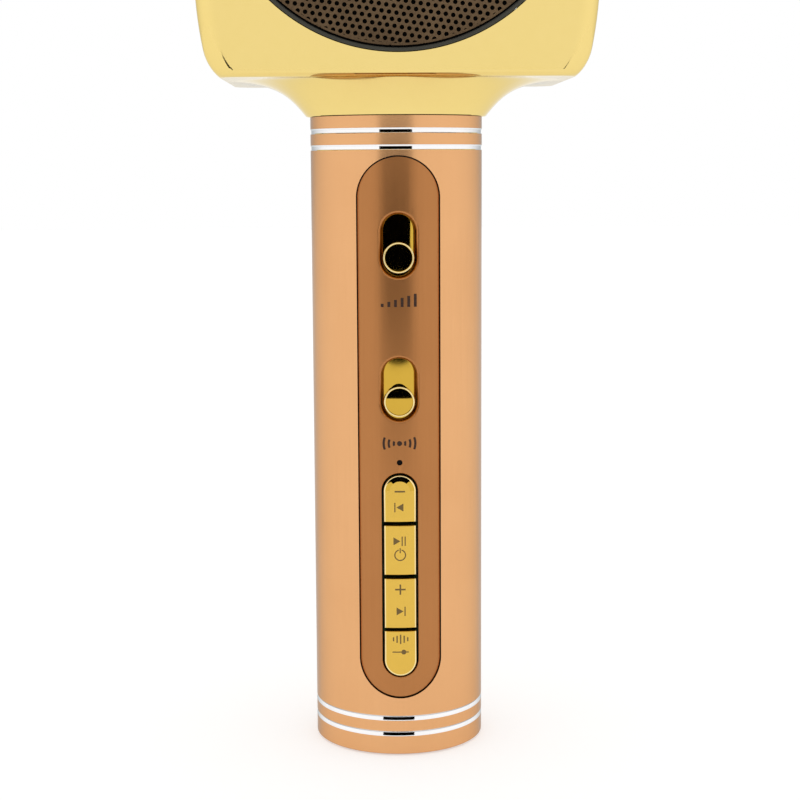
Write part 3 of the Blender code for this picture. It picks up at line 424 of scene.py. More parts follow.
class Bench:
    """The modelling operators, each with the selection and mode it needs."""

    @staticmethod
    def clear_selection() -> None:
        """Leaves edit mode and deselects every object."""
        if bpy.context.object and bpy.context.object.mode != "OBJECT":
            bpy.ops.object.mode_set(mode="OBJECT")
        bpy.ops.object.select_all(action="DESELECT")

    @classmethod
    def hold(cls, item: Mesh) -> None:
        """Makes this the one selected and active object."""
        cls.clear_selection()
        item.select_set(True)
        bpy.context.view_layer.objects.active = item

    @classmethod
    def started(cls, name: str) -> Mesh:
        """Names the primitive that was just added, and puts its place into its mesh."""
        item = bpy.context.object
        item.name = name
        item.data.name = name
        bpy.ops.object.transform_apply(location=True, rotation=True, scale=True)
        return item

    @staticmethod
    def pick(item: Mesh, kind: str, wanted: Callable[[Any], bool]) -> int:
        """Selects in edit mode the verts, edges or faces that a test accepts.

        Args:
            item: the object in edit mode.
            kind: "VERT", "EDGE" or "FACE".
            wanted: the test, given one element of the mesh.

        Returns:
            How many were selected.
        """
        bpy.ops.mesh.select_mode(type=kind)
        bpy.ops.mesh.select_all(action="DESELECT")
        shape = bmesh.from_edit_mesh(item.data)
        group = {"VERT": shape.verts, "EDGE": shape.edges, "FACE": shape.faces}[kind]
        chosen = [element for element in group if wanted(element)]
        for element in chosen:
            element.select_set(True)
        shape.select_flush_mode()
        bmesh.update_edit_mesh(item.data)
        return len(chosen)

    @classmethod
    def modify(cls, item: Mesh, kind: str, **settings: Any) -> None:
        """Adds a modifier and applies it.

        Args:
            item: the piece to finish.
            kind: the modifier's type.
            settings: the modifier's own settings.
        """
        cls.hold(item)
        modifier = item.modifiers.new(kind.lower(), kind)
        for key, value in settings.items():
            setattr(modifier, key, value)
        bpy.ops.object.modifier_apply(modifier=modifier.name)

    @classmethod
    def combine(cls, item: Mesh, other: Mesh, how: Cut) -> None:
        """Cuts, shares or joins the item with another solid, which is then discarded."""
        cls.modify(item, "BOOLEAN", object=other, operation=how.value, solver="EXACT")
        bpy.data.objects.remove(other, do_unlink=True)

    @classmethod
    def tidy(cls, item: Mesh, angle: float = 32.0, reach: float = 0.001 * MM) -> Mesh:
        """Merges doubles, turns faces outwards and shades by angle.

        Args:
            item: the piece.
            angle: edges sharper than this, in degrees, stay sharp.
            reach: points closer than this become one.

        Returns:
            The piece.
        """
        cls.hold(item)
        bpy.ops.object.mode_set(mode="EDIT")
        bpy.ops.mesh.select_all(action="SELECT")
        bpy.ops.mesh.remove_doubles(threshold=reach)
        bpy.ops.mesh.normals_make_consistent(inside=False)
        bpy.ops.object.mode_set(mode="OBJECT")
        bpy.ops.object.shade_smooth_by_angle(angle=math.radians(angle))
        cls.clear_selection()
        return item

    @classmethod
    def turned(cls, name: str, profile: Profile, steps: int = 128, closed: bool = True) -> Mesh:
        """Spins a profile about +Z.

        Args:
            name: the piece's name.
            profile: (radius, height) points in order.
            steps: how many segments go round.
            closed: whether the last point joins the first.

        Returns:
            The turned piece.
        """
        cls.clear_selection()
        bpy.ops.mesh.primitive_plane_add(size=MM)
        item = cls.started(name)
        bpy.ops.object.mode_set(mode="EDIT")
        bpy.ops.mesh.select_mode(type="VERT")
        bpy.ops.mesh.select_all(action="SELECT")
        bpy.ops.mesh.merge(type="CENTER")
        bpy.ops.transform.translate(value=(profile[0][0], 0, profile[0][1]))
        for (r0, z0), (r1, z1) in zip(profile, profile[1:]):
            step = {"value": (r1 - r0, 0, z1 - z0)}
            bpy.ops.mesh.extrude_vertices_move(TRANSFORM_OT_translate=step)
        bpy.ops.mesh.select_all(action="SELECT")
        if closed:
            shape = bmesh.from_edit_mesh(item.data)
            ends = [vert for vert in shape.verts if len(vert.link_edges) == 1]
            shape.edges.new(ends)
            bmesh.update_edit_mesh(item.data)
            bpy.ops.mesh.select_all(action="SELECT")
        bpy.ops.mesh.spin(steps=steps, angle=2 * math.pi, center=(0, 0, 0), axis=(0, 0, 1))
        bpy.ops.object.mode_set(mode="OBJECT")
        return cls.tidy(item)

    @classmethod
    def paint_faces(cls, item: Mesh, slot: int, wanted: Callable[[Vector], bool]) -> None:
        """Gives the faces whose centres pass a test the finish in another slot.

        Args:
            item: the piece, which already has its finishes.
            slot: the number of the finish.
            wanted: the test, given a face's centre.
        """
        cls.hold(item)
        bpy.ops.object.mode_set(mode="EDIT")
        cls.pick(item, "FACE", lambda f: wanted(f.calc_center_median()))
        item.active_material_index = slot
        bpy.ops.object.material_slot_assign()
        bpy.ops.object.mode_set(mode="OBJECT")

    @classmethod
    def moved(cls, item: Mesh, matrix: Matrix) -> Mesh:
        """Moves a piece and puts its new place into its mesh."""
        cls.hold(item)
        item.matrix_world = matrix
        bpy.ops.object.transform_apply(location=True, rotation=True, scale=True)
        return item

    @classmethod
    def outward(cls, item: Mesh, side: Side, centre: Point) -> Mesh:
        """Turns a piece made along +Z to point out of the front or rear at a centre."""
        turn = Matrix.Rotation(-side.value * math.pi / 2, 4, "X")
        return cls.moved(item, Matrix.Translation(centre) @ turn)

    @classmethod
    def faired(cls, item: Mesh, weight: int = 60) -> Mesh:
        """Weighs each corner's normal by face area, so that long strips and flats shade evenly."""
        cls.modify(item, "WEIGHTED_NORMAL", keep_sharp=True, weight=weight)
        return item

    @classmethod
    def pill(cls, name: str, half_width: float, span: Span, near: float, far: float) -> Mesh:
        """An upright slot-shaped plate.

        Args:
            name: the piece's name.
            half_width: half its width, which is also the radius of its ends.
            span: its lowest and highest level.
            near: how far in front of the axis its front is.
            far: how far in front of the axis its back is.

        Returns:
            The plate, closed.
        """
        cls.clear_selection()
        corners = 64
        bottom, top = span
        low = bottom + half_width
        bpy.ops.mesh.primitive_circle_add(
            vertices=corners,
            radius=half_width / math.cos(math.pi / corners),
            fill_type="NGON",
            location=(0, -near, low),
            rotation=(math.pi / 2, math.pi / corners, 0),
        )
        item = cls.started(name)
        bpy.ops.object.mode_set(mode="EDIT")
        cls.pick(item, "VERT", lambda vert: vert.co.z > low)
        bpy.ops.transform.translate(value=(0, 0, top - bottom - 2 * half_width))
        bpy.ops.mesh.select_mode(type="FACE")
        bpy.ops.mesh.select_all(action="SELECT")
        bpy.ops.mesh.extrude_region_move(TRANSFORM_OT_translate={"value": (0, near - far, 0)})
        bpy.ops.mesh.select_all(action="SELECT")
        bpy.ops.mesh.normals_make_consistent(inside=False)
        bpy.ops.object.mode_set(mode="OBJECT")
        return item

    @classmethod
    def sunk_slot(cls, name: str, half_width: float, span: Span, face: float, lip: float) -> Mesh:
        """A cutter for a slot whose rim rolls in, like a pressed lip.

        Args:
            name: the cutter's name.
            half_width: half the slot's width under its rim.
            span: the slot's lowest and highest level under its rim.
            face: how far in front of the axis the surface is that it cuts.
            lip: how far the rolled rim reaches beyond the slot.

        Returns:
            The cutter.
        """
        wide = half_width + lip
        item = cls.pill(name, wide, (span[0] - lip, span[1] + lip), face + 2 * MM, face)
        cls.hold(item)
        bpy.ops.object.mode_set(mode="EDIT")
        cls.pick(item, "FACE", lambda f: f.normal.y > 0.9)
        for share, drop in ((0.34, 0.10), (0.30, 0.22), (0.22, 0.36), (0.14, 0.62)):
            bpy.ops.mesh.inset(thickness=lip * share, depth=lip * drop)
        bpy.ops.mesh.extrude_region_move(TRANSFORM_OT_translate={"value": (0, 4 * MM, 0)})
        bpy.ops.object.mode_set(mode="OBJECT")
        return item

    @classmethod
    def sliced(
        cls,
        item: Mesh,
        axis: Point,
        places: Iterable[float],
        wanted: Callable[[Any], bool] = lambda face: True,
    ) -> None:
        """Cuts new edge loops into a piece across an axis, without taking anything away.

        Args:
            item: the piece.
            axis: the direction across which it is cut.
            places: how far along the axis each cut is.
            wanted: which faces are cut.
        """
        cls.hold(item)
        bpy.ops.object.mode_set(mode="EDIT")
        for place in places:
            cls.pick(item, "FACE", wanted)
            bpy.ops.mesh.bisect(
                plane_co=tuple(c * place for c in axis),
                plane_no=axis,
                threshold=1e-7,
                use_fill=False,
            )
        bpy.ops.object.mode_set(mode="OBJECT")

    @classmethod
    def trimmed(cls, item: Mesh, place: Point, away: Point) -> None:
        """Cuts a piece at a plane, drops one side of it and closes the cut.

        Args:
            item: the piece to cut.
            place: a point on the plane.
            away: the direction of the side that is dropped.
        """
        cls.hold(item)
        bpy.ops.object.mode_set(mode="EDIT")
        bpy.ops.mesh.select_all(action="SELECT")
        bpy.ops.mesh.bisect(
            plane_co=place, plane_no=away, clear_outer=True, use_fill=True, threshold=1e-7
        )
        bpy.ops.object.mode_set(mode="OBJECT")

    @classmethod
    def wrapped(cls, item: Mesh) -> Mesh:
        """Lays a flat plate round the handle.

        Each point keeps its width, and its depth becomes its distance from the handle's axis.

        Args:
            item: the plate, whose mesh is changed.

        Returns:
            The same piece.
        """
        for vert in item.data.vertices:
            x, y, _ = vert.co
            vert.co.y = -math.sqrt(max(y * y - x * x, 0.0))
        item.data.update()
        return item


def dress(item: Mesh, *finishes: bpy.types.Material) -> Mesh:
    """Gives a piece its materials.

    Args:
        item: the piece to dress.
        finishes: its materials, in slot order.

    Returns:
        The same piece.
    """
    item.data.materials.clear()
    for made in finishes:
        item.data.materials.append(made)
    return item


def hand_over(item: Mesh, body: str, slot: str, *nodes: str) -> None:
    """Gives a finished piece to the frame.

    Args:
        item: the piece.
        body: the body it moves with.
        slot: the record's material slot of the piece; not used.
        nodes: the nodes it stands for.
    """
    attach(item, body)
    if nodes:
        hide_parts(*nodes)
    LOG.info("%s rides on %s, %d faces", item.name, body, len(item.data.polygons))


class Paintbox:
    """Makes each finish once and remembers it."""

    def __init__(self) -> None:
        """Starts empty."""
        self.made: dict[str, bpy.types.Material] = {}

    def __call__(self, finish: Any) -> bpy.types.Material:
        """Returns the material of a finish."""
        if finish.name not in self.made:
            self.made[finish.name] = finish.make()
        return self.made[finish.name]


# ---------------------------------------------------------------------------------------------
# Handle
# ---------------------------------------------------------------------------------------------


@dataclass
class Handle:
    """The tube with its turned rings and the control panel in its window."""

    paint: Paintbox
    radius: float = 19.0 * MM
    bore: float = 17.4 * MM
    span: Span = (0.3 * MM, 140.5 * MM)
    edge: float = 0.45 * MM
    ring_depth: float = 0.25 * MM
    ring_width: float = 1.15 * MM
    facet_tilts: Span = (-2.8, 16.5)
    panel_radius: float = 18.5 * MM
    panel_back: float = 16.9 * MM
    panel_half_width: float = 8.85 * MM
    panel_span: Span = (13.3 * MM, 131.8 * MM)
    seam: float = 0.15 * MM
    slot_half_width: float = 3.7 * MM
    slot_length: float = 13.3 * MM
    slot_centres: Span = (112.9 * MM, 81.9 * MM)
    lip: float = 0.75 * MM
    button_slot: tuple[float, float, float] = (3.9 * MM, 17.9 * MM, 63.5 * MM)
    light: Span = (65.9 * MM, 0.62 * MM)

    def build(self) -> None:
        """Models the tube and the panel."""
        self.make_tube()
        self.make_panel()

    def ring_profile(self, top: float) -> list[Span]:
        """The points of one diamond-cut ring: a flat facet between two short walls.

        Args:
            top: the ring's upper edge.

        Returns:
            (radius, height) points from the upper edge to the lower one.
        """
        low_tilt = top < sum(self.panel_span) / 2
        tilt = math.radians(self.facet_tilts[low_tilt])
        upper, lower = top - self.ring_width * 0.30, top - self.ring_width * 0.84
        rise = (upper - lower) / 2 * math.tan(tilt)
        middle = self.radius - self.ring_depth * 0.7
        edge, step = 0.03 * MM, 0.02 * MM
        return [
            (self.radius, top),
            (self.radius - edge, top - step),
            (middle - rise + edge, upper + step),
            (middle - rise, upper),
            (middle - rise * 0.9, upper - (upper - lower) * 0.05),
            (middle + rise * 0.9, lower + (upper - lower) * 0.05),
            (middle + rise, lower),
            (middle + rise + edge, lower - step),
            (self.radius - edge, top - self.ring_width + step),
            (self.radius, top - self.ring_width),
        ]

    def make_tube(self) -> None:
        """Spins the tube and cuts the panel's window."""
        low, high = self.span
        edge = 0.15 * MM
        outside = [(self.bore, high), (self.radius - edge, high), (self.radius, high - edge)]
        for top in RING_TOPS:
            outside += self.ring_profile(top)
        for step in range(5):
            turn = math.radians(22.5 * step)
            outside.append(
                (
                    self.radius - self.edge * (1 - math.cos(turn)),
                    low + self.edge * (1 - math.sin(turn)),
                )
            )
        outside.append((self.bore, low))
        tube = Bench.turned("handle_tube_turned", outside, 240)
        bottom, top = self.panel_span
        span = (bottom - self.seam, top + self.seam)
        window = Bench.pill("window", self.panel_half_width + self.seam, span, 30 * MM, 5 * MM)
        Bench.combine(tube, window, Cut.AWAY)
        Bench.tidy(tube, 14)
        Bench.faired(tube)
        dress(tube, self.paint(ROSE_GOLD))
        hand_over(tube, "body", "anodised_tube", "handle_tube")

    def make_panel(self) -> None:
        """Cuts the panel's slots and light hole from a flat plate and wraps it round."""
        bottom, top = self.panel_span
        seam = self.seam
        panel = Bench.pill(
            "control_panel_plate",
            self.panel_half_width - seam,
            (bottom + seam, top - seam),
            self.panel_radius,
            self.panel_back,
        )
        for middle in self.slot_centres:
            span = (middle - self.slot_length / 2, middle + self.slot_length / 2)
            slot = Bench.sunk_slot("slot", self.slot_half_width, span, self.panel_radius, self.lip)
            Bench.combine(panel, slot, Cut.AWAY)
        half_width, low, high = self.button_slot
        column = Bench.sunk_slot("column", half_width, (low, high), self.panel_radius, 0.25 * MM)
        Bench.combine(panel, column, Cut.AWAY)
        height, radius = self.light
        Bench.clear_selection()
        bpy.ops.mesh.primitive_cylinder_add(
            vertices=40,
            radius=radius,
            depth=6 * MM,
            location=(0, -self.panel_radius, height),
            rotation=(math.pi / 2, 0, 0),
        )
        hole = Bench.started("light_hole")
        Bench.combine(panel, hole, Cut.AWAY)
        Bench.sliced(panel, (1, 0, 0), (i * 0.4 * MM for i in range(-21, 22)))
        Bench.wrapped(panel)
        Bench.tidy(panel, 28)
        Bench.faired(panel)
        dress(panel, self.paint(BRONZE))
        hand_over(panel, "body", "panel_bronze", "control_panel")


# ---------------------------------------------------------------------------------------------
# Symbols
# ---------------------------------------------------------------------------------------------


@dataclass
class Symbols:
    """Flat printed symbols, laid on a curved face a hair above it."""

    face: float
    lift: float = 0.015 * MM
    pieces: list[Mesh] = field(default_factory=list)

    def keep(self, item: Mesh, place: Span, turn: float, size: Span) -> None:
        """Sizes, turns and places a symbol, slices it so that it can bend, and files it.

        Args:
            item: the flat symbol, drawn round the origin.
            place: its centre, across and up.
            turn: how far it is turned in its plane, in degrees.
            size: its stretch across and up.
        """
        move = Matrix.Translation((place[0], -self.face - self.lift, place[1]))
        spin = Matrix.Rotation(math.radians(turn), 4, "Y")
        Bench.moved(item, move @ spin @ Matrix.Diagonal((size[0], 1, size[1], 1)))
        Bench.sliced(item, (1, 0, 0), (i * 0.4 * MM for i in range(-10, 11)))
        self.pieces.append(item)

    def bar(self, place: Span, width: float, height: float, turn: float = 0.0) -> None:
        """Adds a rectangle of this width and height."""
        Bench.clear_selection()
        bpy.ops.mesh.primitive_plane_add(size=1, rotation=(math.pi / 2, 0, 0))
        self.keep(Bench.started("bar"), place, turn, (width, height))

    def dot(self, place: Span, radius: float, corners: int = 24, turn: float = 0.0) -> None:
        """Adds a filled disc, or a polygon of a few corners."""
        Bench.clear_selection()
        bpy.ops.mesh.primitive_circle_add(
            vertices=corners, radius=radius, fill_type="NGON", rotation=(math.pi / 2, 0, 0)
        )
        self.keep(Bench.started("dot"), place, turn, (1, 1))

    def arrow(self, place: Span, size: float, right: bool) -> None:
        """Adds a solid triangle that points left or right."""
        self.dot(place, size * 0.62, 3, 90 if right else -90)

    def arc(self, place: Span, radius: float, width: float, open_at: Callable[..., bool]) -> None:
        """Adds a ring with a part left out.

        Args:
            place: its centre, across and up.
            radius: its outer radius.
            width: how wide its line is.
            open_at: whether a face centre is left out.
        """
        Bench.clear_selection()
        bpy.ops.mesh.primitive_circle_add(
            vertices=48, radius=radius, rotation=(math.pi / 2, 0, 0), fill_type="NOTHING"
        )
        item = Bench.started("arc")
        bpy.ops.object.mode_set(mode="EDIT")
        bpy.ops.mesh.select_mode(type="EDGE")
        bpy.ops.mesh.select_all(action="SELECT")
        bpy.ops.mesh.extrude_region_move()
        scale = (radius - width) / radius
        bpy.ops.transform.resize(value=(scale, 1, scale), center_override=(0, 0, 0))
        if Bench.pick(item, "FACE", lambda f: open_at(f.calc_center_median())):
            bpy.ops.mesh.delete(type="FACE")
        bpy.ops.object.mode_set(mode="OBJECT")
        self.keep(item, place, 0, (1, 1))

    def joined(self, name: str) -> Mesh:
        """Joins the symbols into one piece that faces the front, and lays it on its face.

        Args:
            name: the name of the joined piece.

        Returns:
            The joined piece.
        """
        Bench.clear_selection()
        for item in self.pieces:
            item.select_set(True)
        first = self.pieces[0]
        bpy.context.view_layer.objects.active = first
        bpy.ops.object.join()
        first.name = name
        first.data.name = name
        Bench.hold(first)
        bpy.ops.object.mode_set(mode="EDIT")
        if Bench.pick(first, "FACE", lambda f: f.normal.y > 0):
            bpy.ops.mesh.flip_normals()
        bpy.ops.object.mode_set(mode="OBJECT")
        Bench.wrapped(first)
        bpy.ops.object.shade_smooth()
        self.pieces = []
        Bench.clear_selection()
        return first


# ---------------------------------------------------------------------------------------------
# Sliders
# ---------------------------------------------------------------------------------------------


@dataclass
class Slider:
    """A gold slider: a round dished knob on a curved shoe that fills its slot."""

    paint: Paintbox
    name: str
    middle: float
    dome: float
    travel: float = 5.2 * MM
    radius: float = 3.3 * MM
    face: float = 19.5 * MM
    rim: float = 0.36 * MM
    dish: float = 0.30 * MM
    shoe_front: float = 16.6 * MM
    shoe_back: float = 15.8 * MM
    shoe_half_width: float = 5.2 * MM
    shoe_length: float = 19.2 * MM

    @property
    def height(self) -> float:
        """The knob's level at rest, at the bottom of its travel."""
        return self.middle - self.travel / 2

    def off_axis(self, place: Vector) -> float:
        """How far a point is from the knob's axis."""
        return math.hypot(place.x, place.z - self.height)

    def knob_profile(self) -> list[Span]:
        """The knob from the middle of its domed dish, over the rolled rim and down its side."""
        floor = self.face - self.dish
        inner = self.radius - self.rim
        points = []
        for step in range(9):
            r = (inner - 0.03 * MM) * step / 8
            points.append((r, floor - r * r / (2 * self.dome)))
        half = self.rim / 2
        for step in range(9):
            turn = math.pi * (1 - step / 8)
            across, up = half * math.cos(turn), half * math.sin(turn)
            points.append((self.radius - half + across, self.face - half + up))
        foot = self.shoe_back + 0.3 * MM
        return points + [(self.radius, foot), (0.0, foot)]

    def build(self) -> None:
        """Models the knob and shoe as one piece."""
        knob = Bench.turned(self.name + "_slider_plated", self.knob_profile(), 96, closed=False)
        Bench.outward(knob, Side.FRONT, (0, 0, self.height))
        Bench.clear_selection()
        bpy.ops.mesh.primitive_cube_add(
            size=1, location=(0, -(self.shoe_front + self.shoe_back) / 2, self.height)
        )
        bpy.context.object.scale = (
            2 * self.shoe_half_width,
            self.shoe_front - self.shoe_back,
            self.shoe_length,
        )
        shoe = Bench.started("shoe")
        Bench.modify(shoe, "BEVEL", width=0.12 * MM, segments=2)
        Bench.sliced(shoe, (1, 0, 0), (i * 0.35 * MM for i in range(-14, 15)))
        Bench.wrapped(shoe)
        Bench.combine(knob, shoe, Cut.JOINED)
        Bench.tidy(knob, 30)
        Bench.faired(knob)
        dress(knob, self.paint(KNOB_GOLD), self.paint(HIGHLIGHT_GOLD))
        # The knob's rolled rim gets the paler gold: a painted highlight round the knob.
        inner, front = self.radius - self.rim * 1.05, self.face - self.rim * 0.75
        Bench.paint_faces(knob, 1, lambda c: -c.y > front and self.off_axis(c) > inner)
        hand_over(knob, self.name + "_slider", "gold_plating", self.name + "_slider_knob")


# ---------------------------------------------------------------------------------------------
# Buttons
# ---------------------------------------------------------------------------------------------


@dataclass
class Button:
    """A satin gold push button with a bevelled edge and printed symbols."""

    paint: Paintbox
    name: str
    span: Span
    rounded_top: bool = False
    rounded_bottom: bool = False
    half_width: float = 3.5 * MM
    face: float = 19.05 * MM
    back: float = 16.0 * MM
    bevel: float = 0.32 * MM
    slope_width: float = 0.95 * MM
    slope_drop: float = 0.16 * MM

    def build(self) -> None:
        """Models the cap, lays its symbols on it and hands both over."""
        low, high = self.span
        far = 2 * self.half_width
        foot = low if self.rounded_bottom else low - far
        head = high if self.rounded_top else high + far
        name = "button_" + self.name
        cap = Bench.pill(name + "_cap", self.half_width, (foot, head), self.face, self.back)
        if not self.rounded_bottom:
            Bench.trimmed(cap, (0, 0, low), (0, 0, -1))
        if not self.rounded_top:
            Bench.trimmed(cap, (0, 0, high), (0, 0, 1))
        Bench.hold(cap)
        bpy.ops.object.mode_set(mode="EDIT")
        Bench.pick(cap, "EDGE", lambda e: all(v.co.y < -self.face + 1e-6 for v in e.verts))
        bpy.ops.mesh.bevel(offset=self.bevel, segments=4, affect="EDGES", profile=0.6)
        if self.rounded_top:
            self.slope_top(cap)
        bpy.ops.object.mode_set(mode="OBJECT")
        flat = self.half_width - self.bevel - self.slope_width
        places = (i * 0.35 * MM for i in range(-9, 10))
        Bench.sliced(cap, (1, 0, 0), places, lambda f: self.reach(f.calc_center_median()) < flat)
        Bench.wrapped(cap)
        Bench.tidy(cap, 7)
        Bench.faired(cap)
        dress(cap, *(self.paint(gold) for gold in (BUTTON_GOLD, HIGHLIGHT_GOLD, KNOB_GOLD)))
        # The leaned-back rim of the rounded top gets the darker, glossier slider gold: painted
        # shade that deepens the dark crescent which the slope reflects.
        if self.rounded_top:
            Bench.paint_faces(cap, 2, lambda c: self.reach(c) > self.half_width - self.slope_width)
        # The bevels get the paler gold: a painted highlight along the cap's edges.
        Bench.paint_faces(cap, 1, self.on_bevel)
        hand_over(cap, self.name + "_button", "button_gold", name)
        marks = self.symbols().joined(name + "_marks")
        dress(marks, self.paint(ETCH))
        hand_over(marks, self.name + "_button", "button_gold")

    def reach(self, place: Vector) -> float:
        """How far a point in the upper half round is from its centre; 0 below it."""
        rise = place.z - (self.span[1] - self.half_width)
        return math.hypot(place.x, rise) if self.rounded_top and rise > 0 else 0.0

    def on_bevel(self, place: Vector) -> bool:
        """Whether a point is on the bevel of a long side or of a rounded end, where the painted
        highlight goes.
        """
        low, high = self.span
        foot = low + self.half_width if self.rounded_bottom else low
        head = high - self.half_width if self.rounded_top else high
        over = max(foot - place.z, place.z - head, 0.0)
        return math.hypot(place.x, over) > self.half_width - self.bevel

    def slope_top(self, cap: Mesh) -> None:
        """Leans the rounded end of the face back a little, most at its very top.

        Args:
            cap: the cap, in edit mode.
        """
        start = self.span[1] - self.half_width
        Bench.pick(cap, "FACE", lambda f: f.normal.y < -0.999)
        bpy.ops.mesh.inset(thickness=self.slope_width, depth=0)
        Bench.pick(cap, "FACE", lambda f: f.normal.y < -0.999 and f.calc_area() > 10 * MM * MM)
        shape = bmesh.from_edit_mesh(cap.data)
        flat = {vert for face in shape.faces if face.select for vert in face.verts}
        for vert in shape.verts:
            rise = (vert.co.z - start) / self.half_width
            if vert not in flat and rise > 0 and vert.co.y < self.bevel - self.face + 1e-6:
                vert.co.y += self.slope_drop * rise
        bmesh.update_edit_mesh(cap.data)

    def symbols(self) -> Symbols:
        """The printed symbols of this button."""
        marks = Symbols(self.face)
        line = 0.26 * MM
        if self.name == "previous":
            marks.bar((0, 59.6 * MM), 2.3 * MM, line * 1.4)
            marks.arrow((0.25 * MM, 56.1 * MM), 1.65 * MM, right=False)
            marks.bar((-1.1 * MM, 56.1 * MM), line, 2.1 * MM)
        elif self.name == "play":
            marks.arrow((-0.95 * MM, 48.6 * MM), 1.65 * MM, right=True)
            marks.bar((0.45 * MM, 48.6 * MM), line, 2.1 * MM)
            marks.bar((1.10 * MM, 48.6 * MM), line, 2.1 * MM)
            marks.arc((0, 45.5 * MM), 1.3 * MM, line, lambda c: c.z > 3 * abs(c.x))
            marks.bar((0, 46.5 * MM), line, 1.1 * MM)
        elif self.name == "next":
            marks.bar((0, 37.8 * MM), 2.3 * MM, line * 1.4)
            marks.bar((0, 37.8 * MM), line * 1.4, 2.3 * MM)
            marks.arrow((-0.35 * MM, 32.9 * MM), 1.65 * MM, right=True)
            marks.bar((1.0 * MM, 32.9 * MM), line, 2.1 * MM)
        else:
            for i, size in enumerate((0.9, 1.6, 2.1, 1.6, 0.9)):
                marks.bar(((i - 2) * 0.78 * MM, 26.6 * MM), line * 1.2, size * MM)
            marks.bar((0, 23.7 * MM), 3.6 * MM, line)
            marks.dot((0.7 * MM, 23.7 * MM), 0.55 * MM)
        return marks


# ---------------------------------------------------------------------------------------------
# Speaker head
# ---------------------------------------------------------------------------------------------


@dataclass
class Head:
    """The two plated shells, lofted over rings from the neck to the crown."""

    paint: Paintbox
    bottom: float = 148.0 * MM
    centre: float = 191.2 * MM
    half_depth: float = 28.0 * MM
    roll: Span = (2.4 * MM, 1.3 * MM)
    corner: float = 4.5 * MM
    corner_arc: Point = (30.37 * MM, 155.65 * MM, 10.12 * MM)
    side_arc: Point = (-43.12 * MM, 170.01 * MM, 85.0 * MM)
    corner_top: float = 153.71 * MM
    neck_widths: Sequence[float] = (19.9 * MM, 23.2 * MM, 26.2 * MM, 36.5 * MM)
    neck_heights: Sequence[float] = (140.52 * MM, 144.6 * MM, 148.0 * MM, 148.0 * MM)
    neck_front: Span = (5.7 * MM, 1.35)
    crown: Point = (26.0 * MM, 26.6 * MM, 235.0 * MM)
    wall: float = 2.0 * MM
    opening: float = 38.3 * MM
    parting: float = 0.06 * MM

    def half_width(self, height: float) -> float:
        """Half the head's width at a level: a corner arc, a long side arc, then straight."""
        z = self.centre - abs(height - self.centre)
        x, level, radius = self.corner_arc if z < self.corner_top else self.side_arc
        return x + math.sqrt(radius**2 - max(0.0, level - z) ** 2)

    def depth_at(self, height: float) -> float:
        """Half the head's depth at a level: it rolls in at the lower and upper edge.

        Args:
            height: the level above the base.

        Returns:
            The half depth there.
        """
        inward, tall = self.roll
        edge = self.centre - abs(height - self.centre) - self.bottom
        if edge >= tall:
            return self.half_depth
        return self.half_depth - inward + inward * math.sqrt(1 - ((tall - edge) / tall) ** 2)

    def plan(self, wide: float, deep: float) -> list[Span]:
        """A rounded oblong's points, in the same order whatever its size.

        Args:
            wide: half its width.
            deep: half its depth.

        Returns:
            Points anticlockwise from +X, closest together at the corners.
        """
        across, along = wide - self.corner, deep - self.corner
        quarter = [(wide, along * i / 6) for i in range(6)]
        for i in range(13):
            turn = math.radians(7.5 * i)
            x, y = self.corner * math.cos(turn), self.corner * math.sin(turn)
            quarter.append((across + x, along + y))
        quarter += [(across * (1 - i / 20), deep) for i in range(1, 20)]
        half = quarter + [(0.0, deep)] + [(-x, y) for x, y in reversed(quarter[1:])]
        return half + [(-x, -y) for x, y in half]

    def neck_reach(self, angle: float, t: float) -> Span:
        """Finds a point of the flared neck.

        Args:
            angle: the direction round the axis.
            t: how far up the flare, from 0 to 1.

        Returns:
            The reach in that direction, and the level.
        """
        z = bezier(self.neck_heights, t)
        gain, power = self.neck_front
        rise = (z - self.neck_heights[0]) / (self.neck_heights[-1] - self.neck_heights[0])
        deep = self.neck_widths[0] + gain * rise**power
        wide = bezier(self.neck_widths, t)
        bend = 2 + 0.55 * t
        across, along = abs(math.cos(angle)) / wide, abs(math.sin(angle)) / deep
        return (across**bend + along**bend) ** (-1 / bend), z

    def levels(self) -> list[float]:
        """The heights of the head's rings: close together where it rolls in, wide apart above."""
        rises = (0.0, 0.03, 0.08, 0.16, 0.28, 0.45, 0.7, 1.3, 1.9, 2.6, 3.5, 4.5, 5.71)
        low = [self.bottom + rise * MM for rise in rises]
        straight = self.side_arc[1]
        low += [self.corner_top + step * (straight - self.corner_top) / 8 for step in range(1, 9)]
        low += [straight + step * (self.centre - straight) / 3 for step in range(1, 3)]
        return low + [self.centre] + [2 * self.centre - z for z in reversed(low)]

    def rings(self) -> list[list[Point]]:
        """Every ring of the outside, from the neck's rim to the crown."""
        widest = self.plan(self.corner_arc[0] + self.corner_arc[2], self.half_depth)
        angles = [math.atan2(y, x) for x, y in widest]
        found: list[list[Point]] = []

        def add(height: float, reaches: Iterable[float]) -> None:
            """Adds a level ring that reaches so far in each direction."""
            ring = [(r * math.cos(a), r * math.sin(a), height) for a, r in zip(angles, reaches)]
            found.append(ring)

        steps = 18
        for i in range(steps + 1):
            t = i / steps
            add(bezier(self.neck_heights, t), [self.neck_reach(a, t)[0] for a in angles])
        crown_top, crown_foot, crown_level = self.crown
        roof = 2 * self.centre - self.bottom
        for z in self.levels():
            ring = self.plan(self.half_width(z), self.depth_at(z))
            if z > roof - 0.1 * MM:
                gains = [max(1.0, crown_foot / math.hypot(x, y)) for x, y in ring]
                ring = [(x * gain, y * gain) for (x, y), gain in zip(ring, gains)]
            found.append([(x, y, z) for x, y in ring])
        add(roof + 0.02 * MM, [crown_foot] * len(angles))
        add(crown_level - 0.3 * MM, [crown_top] * len(angles))
        add(crown_level, [crown_top - 0.3 * MM] * len(angles))
        add(crown_level, [21.5 * MM] * len(angles))
        add(crown_level - 6 * MM, [21.5 * MM] * len(angles))
        return found

